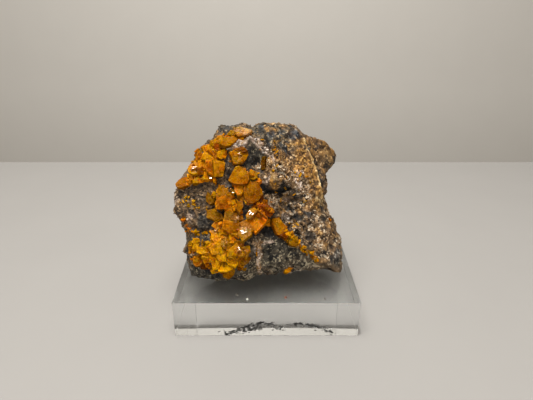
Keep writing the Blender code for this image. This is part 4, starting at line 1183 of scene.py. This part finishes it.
def make_grains(name, finish, seed):
    """One kind of grains: places tried at random over the rock, kept where its finishes are, in clumps on
    the crests. Those of the layered brown rock lie flat."""
    carriers, odds, tries, smallest, largest, shape, light = GRAINS[name]
    random = np.random.default_rng(seed)
    directions = closer_in_front(unit(random.normal(size=(tries, 3))))
    points, shares, relief = rock_surface(directions)
    share = shares[:, [FINISH_NAMES.index(carrier) for carrier in carriers]].sum(axis=1)
    broad, fine = CLUMP_LENGTHS
    clump = gradient_noise(points / broad, seed) + CLUMP_DETAIL * gradient_noise(points / fine, seed + 1)
    clump = step(clump + relief - CLUMP_LEVEL, CLUMP_EDGE)
    kept = random.random(tries) < share * odds * clump
    kept &= points[:, 2] > underside(points) + GRAIN_FLOOR
    kept &= np.cumsum(kept) <= GRAINS_AT_MOST
    points, shares, relief, directions = points[kept], shares[kept], relief[kept], directions[kept]
    count = len(points)
    sizes = smallest + (largest - smallest) * random.random(count) ** GRAIN_SIZES
    sizes = sizes * (0.5 + 0.5 * step(np.abs(directions @ SIGHT) - OUTLINE_BAND, OUTLINE_FADE))
    axes = random_axes(random, count)
    flat = layered_share(shares) > 0.5
    layers = np.array([(1.0, 0.0, LAYER_TILT), (0.0, 1.0, 0.0), (-LAYER_TILT, 0.0, 1.0)])
    axes[flat] = unit(layers + LYING_STRAY * (random.random((count, 3, 3)) - 0.5))[flat]
    centres = points + directions * (GRAIN_RISE * sizes)[:, None]
    corners, faces = chips(random, centres, sizes, shape, axes)
    lit = (random.random(count) < light)[:, None]
    fleck = (random.random(count) < FLECK_SHARE)[:, None]
    dark_tone, light_tone, fleck_tone = (blend_of(shares, column) for column in range(3))
    dull_tone = (1.0 - DARK_LIGHTER) * dark_tone + DARK_LIGHTER * light_tone
    tone = np.where(lit, np.where(fleck, fleck_tone, light_tone), dull_tone)
    # Painted shade in hollows and painted light on crests, with some dirt, as on the rock
    tone = tone * cavity_shade(GRAIN_CAVITIES, points, relief)
    tone = tone * random.uniform(*GRAIN_BRIGHTNESS, size=(count, 1))
    mesh_piece(name, corners, faces, finish, {"grain_colour": np.repeat(tone, 8, axis=0)})


def make_contacts(finish, seed):
    """Where the rock rests: many small points of contact strewn along each ridge, closest on its line,
    that reach from just inside the block's top into the rock's foot."""
    random = np.random.default_rng(seed)
    places = []
    for ridge in CONTACT_RIDGES:
        line = np.array(ridge)
        length = np.concatenate([[0.0], np.cumsum(np.linalg.norm(np.diff(line, axis=0), axis=1))])
        at = random.uniform(0.0, length[-1], int(length[-1] * CONTACTS_PER_MM))
        on = np.stack([np.interp(at, length, line[:, 0]), np.interp(at, length, line[:, 1])], axis=1)
        stray = random.normal(size=on.shape) * CONTACT_SPREAD
        places.append(on + stray * (0.35 + random.random((len(at), 1))))
    places = np.vstack(places)
    sizes = random.uniform(*CONTACT_SIZES, len(places))
    turn = random.uniform(0.0, math.pi, len(places))
    axes = np.zeros((len(places), 3, 3))
    axes[:, 0, :2] = np.column_stack([np.cos(turn), np.sin(turn)])
    axes[:, 1, :2] = np.column_stack([-np.sin(turn), np.cos(turn)])
    axes[:, 2, 2] = 1.0
    centres = np.column_stack([places, np.zeros(len(places))])
    corners, faces = chips(random, centres, sizes, CONTACT_SHAPE, axes)
    corners[:, 2] = np.where(corners[:, 2] < 0.0, BLOCK_HEIGHT - CONTACT_DEPTH,
                             BLOCK_HEIGHT + SEAT_GAP + CONTACT_REACH)
    tone = linear(CONTACT_COLOUR) * random.uniform(*CONTACT_BRIGHTNESS, size=(len(places), 1))
    mesh_piece("contact_spots", corners, faces, finish, {"grain_colour": np.repeat(tone, 8, axis=0)})


# Loose crumbs on the block: (x, y, half size, colour)
CRUMBS = [
    (-8.1, -21.6, 0.22, "7c7468"), (-5.1, -23.7, 0.26, "f2efe8"), (5.1, -23.0, 0.28, "8a5240"),
    (15.6, -23.4, 0.24, "77716a"), (5.4, -22.3, 0.14, "9a6a50"), (-7.7, -21.9, 0.12, "a89c8c"),
]
CRUMB_SHAPE = np.array([1.1, 0.9, 0.7])
# How high a crumb's middle lies beside its half size, and how far it stays above the block
CRUMB_MIDDLE = 0.75
CRUMB_GAP = 0.005


def make_crumbs(finish, seed):
    """A few crumbs fallen from the specimen, lying on the block's top."""
    random = np.random.default_rng(seed)
    table = np.array([row[:3] for row in CRUMBS])
    centres = np.column_stack([table[:, :2], BLOCK_HEIGHT + CRUMB_MIDDLE * table[:, 2]])
    axes = random_axes(random, len(table))
    corners, faces = chips(random, centres, table[:, 2], CRUMB_SHAPE, axes)
    corners[:, 2] = np.maximum(corners[:, 2], BLOCK_HEIGHT + CRUMB_GAP)
    tone = np.array([linear(row[3]) for row in CRUMBS])
    mesh_piece("crumbs", corners, faces, finish, {"grain_colour": np.repeat(tone, 8, axis=0)})


# ---------------------------------------------------------------- finishes

def add_node(tree, kind, inputs=None, **settings):
    """Adds a node of a kind: settings are its own, and each input takes a value or another node's
    output."""
    made = tree.nodes.new(kind)
    for name, value in settings.items():
        setattr(made, name, value)
    for name, value in (inputs or {}).items():
        if isinstance(value, bpy.types.NodeSocket):
            tree.links.new(value, made.inputs[name])
        else:
            made.inputs[name].default_value = value
    return made


def new_finish(name, plain):
    """A new material whose shader's plain inputs are set: the material, its tree, its shader, and the
    place on the object that its patterns follow."""
    made = bpy.data.materials.new(name)
    made.use_nodes = True
    tree = made.node_tree
    shader = tree.nodes["Principled BSDF"]
    for socket, value in plain.items():
        shader.inputs[socket].default_value = value
    return made, tree, shader, add_node(tree, "ShaderNodeTexCoord").outputs["Object"]


def per_mm(size):
    """Texture scale whose pattern repeats about every so many millimetres."""
    return 1.0 / (size * MM)


def opaque(hex_colour):
    """An sRGB hex colour as a node's linear colour."""
    return (*linear(hex_colour), 1.0)


def weathered_stone():
    """Weathered gossan, broken and never polished: dull, gritty, with flecks of other minerals."""
    made, tree, shader, place = new_finish("weathered gossan", {"IOR": 1.5})
    dark, light, fleck, crest, layered, gritty = (
        add_node(tree, "ShaderNodeAttribute", attribute_name=name)
        for name in ("mineral_dark", "mineral_light", "mineral_fleck", "crest", "layered", "grit"))
    grit = add_node(tree, "ShaderNodeTexNoise",
                    {"Vector": place, "Scale": per_mm(1.1), "Detail": 6.0, "Roughness": 0.72})
    blotch = add_node(tree, "ShaderNodeTexNoise", {
        "Vector": place, "Scale": per_mm(2.6), "Detail": 2.0, "Roughness": 0.5, "Distortion": 0.8})
    drawn_out = add_node(tree, "ShaderNodeMapping", {
        "Vector": place, "Rotation": (0.0, LAYER_TILT, 0.0), "Scale": LAYER_STRETCH})
    bands = add_node(tree, "ShaderNodeTexNoise", {
        "Vector": drawn_out.outputs["Vector"], "Scale": per_mm(1.1), "Detail": 4.0, "Roughness": 0.65})
    grain = add_node(tree, "ShaderNodeMix", {
        0: layered.outputs["Fac"], 2: grit.outputs["Fac"], 3: bands.outputs["Fac"]}, data_type="FLOAT")
    mixed = add_node(tree, "ShaderNodeMath", {
        0: blotch.outputs["Fac"], 1: 0.7, 2: grain.outputs[0]}, operation="MULTIPLY_ADD")
    # Lighter on crests and darker in hollows: partly painted light and shade, partly paler weathered crests
    lit_on_crests = add_node(tree, "ShaderNodeMath", {
        0: crest.outputs["Fac"], 1: 0.35, 2: mixed.outputs[0]}, operation="MULTIPLY_ADD")
    spread = add_node(tree, "ShaderNodeMapRange", {
        "Value": lit_on_crests.outputs[0], "From Min": 0.70, "From Max": 1.0}, clamp=True)
    ground = add_node(tree, "ShaderNodeMix", {
        0: spread.outputs["Result"], 6: dark.outputs["Color"], 7: light.outputs["Color"]}, data_type="RGBA")
    cells = add_node(tree, "ShaderNodeTexVoronoi", {"Vector": place, "Scale": per_mm(0.5)})
    chance = add_node(tree, "ShaderNodeSeparateColor", {"Color": cells.outputs["Color"]})
    chosen = add_node(tree, "ShaderNodeMath", {
        0: chance.outputs["Red"], 1: fleck.outputs["Alpha"]}, operation="LESS_THAN")
    colour = add_node(tree, "ShaderNodeMix", {
        0: chosen.outputs[0], 6: ground.outputs[2], 7: fleck.outputs["Color"]}, data_type="RGBA")
    tree.links.new(colour.outputs[2], shader.inputs["Base Color"])
    dull = add_node(tree, "ShaderNodeMapRange", {
        "Value": chance.outputs["Green"], "From Min": 0.0, "From Max": 1.0, "To Min": 0.45, "To Max": 0.95})
    tree.links.new(dull.outputs["Result"], shader.inputs["Roughness"])
    pits = add_node(tree, "ShaderNodeTexNoise", {
        "Vector": place, "Scale": per_mm(0.45), "Detail": 4.0, "Roughness": 0.7})
    rough = add_node(tree, "ShaderNodeBump", {
        "Height": pits.outputs["Fac"], "Strength": gritty.outputs["Fac"], "Distance": 0.35 * MM})
    grains = add_node(tree, "ShaderNodeBump", {
        "Height": cells.outputs["Distance"], "Strength": 0.6, "Distance": 0.12 * MM,
        "Normal": rough.outputs["Normal"]})
    tree.links.new(grains.outputs["Normal"], shader.inputs["Normal"])
    return made


def mineral_grains():
    """Loose-grained mineral crust: small broken crystals, each with its own tone, some of them
    glinting."""
    made, tree, shader, place = new_finish("crystalline crust", {"IOR": 1.55, "Specular IOR Level": 0.35})
    tone = add_node(tree, "ShaderNodeAttribute", attribute_name="grain_colour")
    stain = add_node(tree, "ShaderNodeTexNoise", {"Vector": place, "Scale": per_mm(0.5), "Detail": 3.0})
    shade = add_node(tree, "ShaderNodeMapRange", {
        "Value": stain.outputs["Fac"], "From Min": 0.3, "From Max": 0.7, "To Min": 0.65, "To Max": 1.2})
    colour = add_node(tree, "ShaderNodeVectorMath", {
        0: tone.outputs["Color"], "Scale": shade.outputs["Result"]}, operation="SCALE")
    tree.links.new(colour.outputs["Vector"], shader.inputs["Base Color"])
    dull = add_node(tree, "ShaderNodeMapRange", {
        "Value": stain.outputs["Fac"], "From Min": 0.4, "From Max": 0.6, "To Min": 0.45, "To Max": 0.9})
    tree.links.new(dull.outputs["Result"], shader.inputs["Roughness"])
    return made


# The wulfenite's colours from deep orange to yellow: (place on the ramp, colour in sRGB hex)
WULFENITE_COLOURS = [(0.0, "b04c04"), (0.5, "b66602"), (1.0, "bc8402")]


def wulfenite_finish():
    """Wulfenite: translucent honey-orange crystals of a resinous lustre, with darker clouds and healed cracks
    inside, pale veils and skin that are partly painted sheen, a painted highlight along the rims, and
    painted shade down their sides."""
    made, tree, shader, place = new_finish("resinous wulfenite", {
        "Subsurface Weight": 0.6, "Subsurface Radius": (1.0, 0.6, 0.1), "Subsurface Scale": 0.5 * MM,
        "IOR": 1.6, "Specular IOR Level": 0.0, "Coat Weight": 0.025, "Coat Roughness": 0.03})
    tone, light, rim, frost_and_sheen = (
        add_node(tree, "ShaderNodeAttribute", attribute_name=name)
        for name in ("tone", "light", "rim", "frost_and_sheen"))
    # Broad clouds and finer depth: together with the tone they choose the colour
    cloud = add_node(tree, "ShaderNodeTexNoise", {
        "Vector": place, "Scale": per_mm(2.2), "Detail": 3.0, "Roughness": 0.5})
    depth = add_node(tree, "ShaderNodeTexNoise", {
        "Vector": place, "Scale": per_mm(1.1), "Detail": 5.0, "Roughness": 0.65, "Distortion": 1.0})
    sway = add_node(tree, "ShaderNodeMath", {
        0: cloud.outputs["Fac"], 1: depth.outputs["Fac"]}, operation="ADD")
    shift = add_node(tree, "ShaderNodeMath", {
        0: sway.outputs[0], 1: 0.9, 2: tone.outputs["Fac"]}, operation="MULTIPLY_ADD")
    centred = add_node(tree, "ShaderNodeMath", {0: shift.outputs[0], 1: 0.9}, operation="SUBTRACT")
    ramp = add_node(tree, "ShaderNodeValToRGB", {"Fac": centred.outputs[0]})
    elements = ramp.color_ramp.elements
    while len(elements) < len(WULFENITE_COLOURS):
        elements.new(0.5)
    for element, (at, colour) in zip(elements, WULFENITE_COLOURS):
        element.position, element.color = at, opaque(colour)
    # The depth and fine specks make it lighter and darker, and the rim takes a painted highlight
    edge = add_node(tree, "ShaderNodeMapRange", {
        "Value": rim.outputs["Fac"], "From Min": 0.88, "From Max": 0.98, "To Min": 0.0, "To Max": 0.14})
    lit = add_node(tree, "ShaderNodeMath", {
        0: depth.outputs["Fac"], 1: edge.outputs["Result"]}, operation="ADD")
    shade = add_node(tree, "ShaderNodeMapRange", {
        "Value": lit.outputs[0], "From Min": 0.32, "From Max": 0.72, "To Min": 0.66, "To Max": 1.25})
    specks = add_node(tree, "ShaderNodeTexNoise", {"Vector": place, "Scale": per_mm(0.42), "Detail": 2.0})
    speck = add_node(tree, "ShaderNodeMapRange", {
        "Value": specks.outputs["Fac"], "From Min": 0.35, "From Max": 0.65, "To Min": 0.72, "To Max": 1.28})
    shaded = add_node(tree, "ShaderNodeMath", {
        0: shade.outputs["Result"], 1: speck.outputs["Result"]}, operation="MULTIPLY")
    inner = add_node(tree, "ShaderNodeMath", {0: shaded.outputs[0], 1: light.outputs["Fac"]},
                     operation="MULTIPLY")
    body = add_node(tree, "ShaderNodeVectorMath", {
        0: ramp.outputs["Color"], "Scale": inner.outputs[0]}, operation="SCALE")
    # Healed cracks lie over the colour, and the veils and the thin pale skin, which are partly painted sheen
    cracks = add_node(tree, "ShaderNodeTexVoronoi", {"Vector": place, "Scale": per_mm(1.5), "Detail": 1.0},
                      feature="DISTANCE_TO_EDGE")
    veils = add_node(tree, "ShaderNodeTexNoise", {
        "Vector": place, "Scale": per_mm(0.8), "Detail": 4.0, "Roughness": 0.65, "Distortion": 2.0})
    crack = add_node(tree, "ShaderNodeMapRange", {
        "Value": cracks.outputs["Distance"], "From Min": 0.0, "From Max": 0.04,
        "To Min": 0.12, "To Max": 0.0})
    frosted = add_node(tree, "ShaderNodeMath", {
        0: frost_and_sheen.outputs["Fac"], 1: 0.25, 2: veils.outputs["Fac"]}, operation="MULTIPLY_ADD")
    sheen_veil = add_node(tree, "ShaderNodeMapRange", {
        "Value": frosted.outputs[0], "From Min": 0.57, "From Max": 0.69, "To Min": 0.0, "To Max": 0.26})
    skin = add_node(tree, "ShaderNodeMath", {
        0: frost_and_sheen.outputs["Fac"], 1: 2.5, 2: 1.0}, operation="MULTIPLY_ADD")
    pale = add_node(tree, "ShaderNodeMath", {
        0: sheen_veil.outputs["Result"], 1: skin.outputs[0], 2: crack.outputs["Result"]}, operation="MULTIPLY_ADD")
    colour = add_node(tree, "ShaderNodeMix", {
        0: pale.outputs[0], 6: body.outputs["Vector"], 7: opaque("cc9c68")}, data_type="RGBA")
    tree.links.new(colour.outputs[2], shader.inputs["Base Color"])
    grime = add_node(tree, "ShaderNodeMapRange", {
        "Value": cloud.outputs["Fac"], "From Min": 0.35, "From Max": 0.65, "To Min": 0.10, "To Max": 0.35})
    tree.links.new(grime.outputs["Result"], shader.inputs["Roughness"])
    grooves = add_node(tree, "ShaderNodeTexNoise", {
        "Vector": place, "Scale": per_mm(0.45), "Detail": 3.0, "Roughness": 0.6})
    waves = add_node(tree, "ShaderNodeBump", {
        "Height": grooves.outputs["Fac"], "Strength": 0.25, "Distance": 0.10 * MM})
    tree.links.new(waves.outputs["Normal"], shader.inputs["Normal"])
    return made


def clear_acrylic():
    """Cast acrylic, cut and polished: clear, a trace of grey-blue in its depth, faint wiping marks on its
    faces."""
    made, tree, shader, place = new_finish("clear cast acrylic", {
        "Base Color": opaque("fafcfc"), "Transmission Weight": 1.0, "IOR": 1.49})
    wipe = add_node(tree, "ShaderNodeTexNoise", {"Vector": place, "Scale": per_mm(6.0), "Detail": 3.0})
    haze = add_node(tree, "ShaderNodeMapRange", {
        "Value": wipe.outputs["Fac"], "From Min": 0.4, "From Max": 0.7, "To Min": 0.0, "To Max": 0.03})
    tree.links.new(haze.outputs["Result"], shader.inputs["Roughness"])
    return made


def board_finish(name, darker, lighter):
    """Pale matt board, of two near tones that drift over it."""
    made, tree, shader, place = new_finish(name, {"Roughness": 0.6})
    tooth = add_node(tree, "ShaderNodeTexNoise", {"Vector": place, "Scale": per_mm(30.0), "Detail": 3.0})
    colour = add_node(tree, "ShaderNodeMix", {
        0: tooth.outputs["Fac"], 6: opaque(darker), 7: opaque(lighter)}, data_type="RGBA")
    tree.links.new(colour.outputs[2], shader.inputs["Base Color"])
    return made


# ---------------------------------------------------------------- the stage

# The floor's front, back and side edges and how far it lies below the block, and the wall behind it
FLOOR_FRONT = -900.0
FLOOR_BACK = 127.0
FLOOR_SIDE = 900.0
FLOOR_DROP = 0.05
WALL_BACK = 420.0
WALL_HEIGHT = 400.0
# Square soft lights: (name, place, target, side, watts, whether it is seen through the clear block)
LIGHTS = [
    ("soft ceiling light", (-50.0, -110.0, 530.0), (0.0, 0.0, 30.0), 360.0, 3.0, True),
    ("small bright lamp", LAMP, (0.0, 0.0, 30.0), 12.0, 1.2, True),
    ("low fill", (0.0, -420.0, 90.0), (0.0, 0.0, 20.0), 300.0, 0.5, False),
]
LIGHT_COLOUR = (1.0, 0.985, 0.96)
ROOM_COLOUR = "b2aba1"
ROOM_STRENGTH = 0.6
# The camera's sensor and lens, how far it is turned up from looking straight down, and the nearest and
# farthest that it sees, in metres
SENSOR_WIDTH = 36.0
LENS = 27.0
CAMERA_TURN = 66.4
CAMERA_RANGE = (0.005, 20.0)


def make_board(name, corners, finish):
    """A flat board of the stage from its four corners."""
    mesh = bpy.data.meshes.new(name)
    mesh.from_pydata([tuple(np.array(corner) * MM) for corner in corners], [], [(0, 1, 2, 3)])
    mesh.materials.append(finish)
    board = bpy.data.objects.new(name, mesh)
    bpy.context.scene.collection.objects.link(board)


def make_light(name, place, target, size, power, through):
    """A square soft light at a place, turned to a target."""
    lamp = bpy.data.lights.new(name, "AREA")
    lamp.shape = "SQUARE"
    lamp.size = size * MM
    lamp.energy = power
    lamp.color = LIGHT_COLOUR
    made = bpy.data.objects.new(name, lamp)
    made.location = np.array(place) * MM
    made.rotation_mode = "QUATERNION"
    made.rotation_quaternion = Vector(np.subtract(target, place)).to_track_quat("-Z", "Y")
    made.visible_transmission = through
    bpy.context.scene.collection.objects.link(made)


def make_stage():
    """Floor, wall, lights, the room's own light and the camera."""
    make_board("floor", [(-FLOOR_SIDE, FLOOR_FRONT, -FLOOR_DROP), (FLOOR_SIDE, FLOOR_FRONT, -FLOOR_DROP),
                         (FLOOR_SIDE, FLOOR_BACK, -FLOOR_DROP), (-FLOOR_SIDE, FLOOR_BACK, -FLOOR_DROP)],
               board_finish("pale table board", "9d9a96", "a19e9a"))
    make_board("wall", [(-FLOOR_SIDE, WALL_BACK, -WALL_HEIGHT), (FLOOR_SIDE, WALL_BACK, -WALL_HEIGHT),
                        (FLOOR_SIDE, WALL_BACK, WALL_HEIGHT), (-FLOOR_SIDE, WALL_BACK, WALL_HEIGHT)],
               board_finish("pale wall board", "d6d2cb", "dad6cf"))
    for row in LIGHTS:
        make_light(*row)
    world = bpy.data.worlds.new("pale room")
    world.use_nodes = True
    shade = world.node_tree.nodes["Background"]
    shade.inputs["Color"].default_value = opaque(ROOM_COLOUR)
    shade.inputs["Strength"].default_value = ROOM_STRENGTH
    bpy.context.scene.world = world
    lens = bpy.data.cameras.new("camera")
    lens.sensor_width = SENSOR_WIDTH
    lens.lens = LENS
    lens.clip_start, lens.clip_end = CAMERA_RANGE
    camera = bpy.data.objects.new("camera", lens)
    camera.location = EYE * MM
    camera.rotation_euler = (math.radians(CAMERA_TURN), 0.0, 0.0)
    bpy.context.scene.collection.objects.link(camera)
    bpy.context.scene.camera = camera
    bpy.context.scene.view_settings.view_transform = "Standard"


make_rock(weathered_stone())
orange = wulfenite_finish()
for number, (name, rows) in enumerate(CRYSTALS.items()):
    make_crystals(name, rows, orange, 200 + number)
grit = mineral_grains()
for number, name in enumerate(GRAINS):
    make_grains(name, grit, 300 + number)
make_small_crystals(orange, 250)
make_block(clear_acrylic())
make_contacts(grit, 350)
make_crumbs(grit, 351)
make_stage()
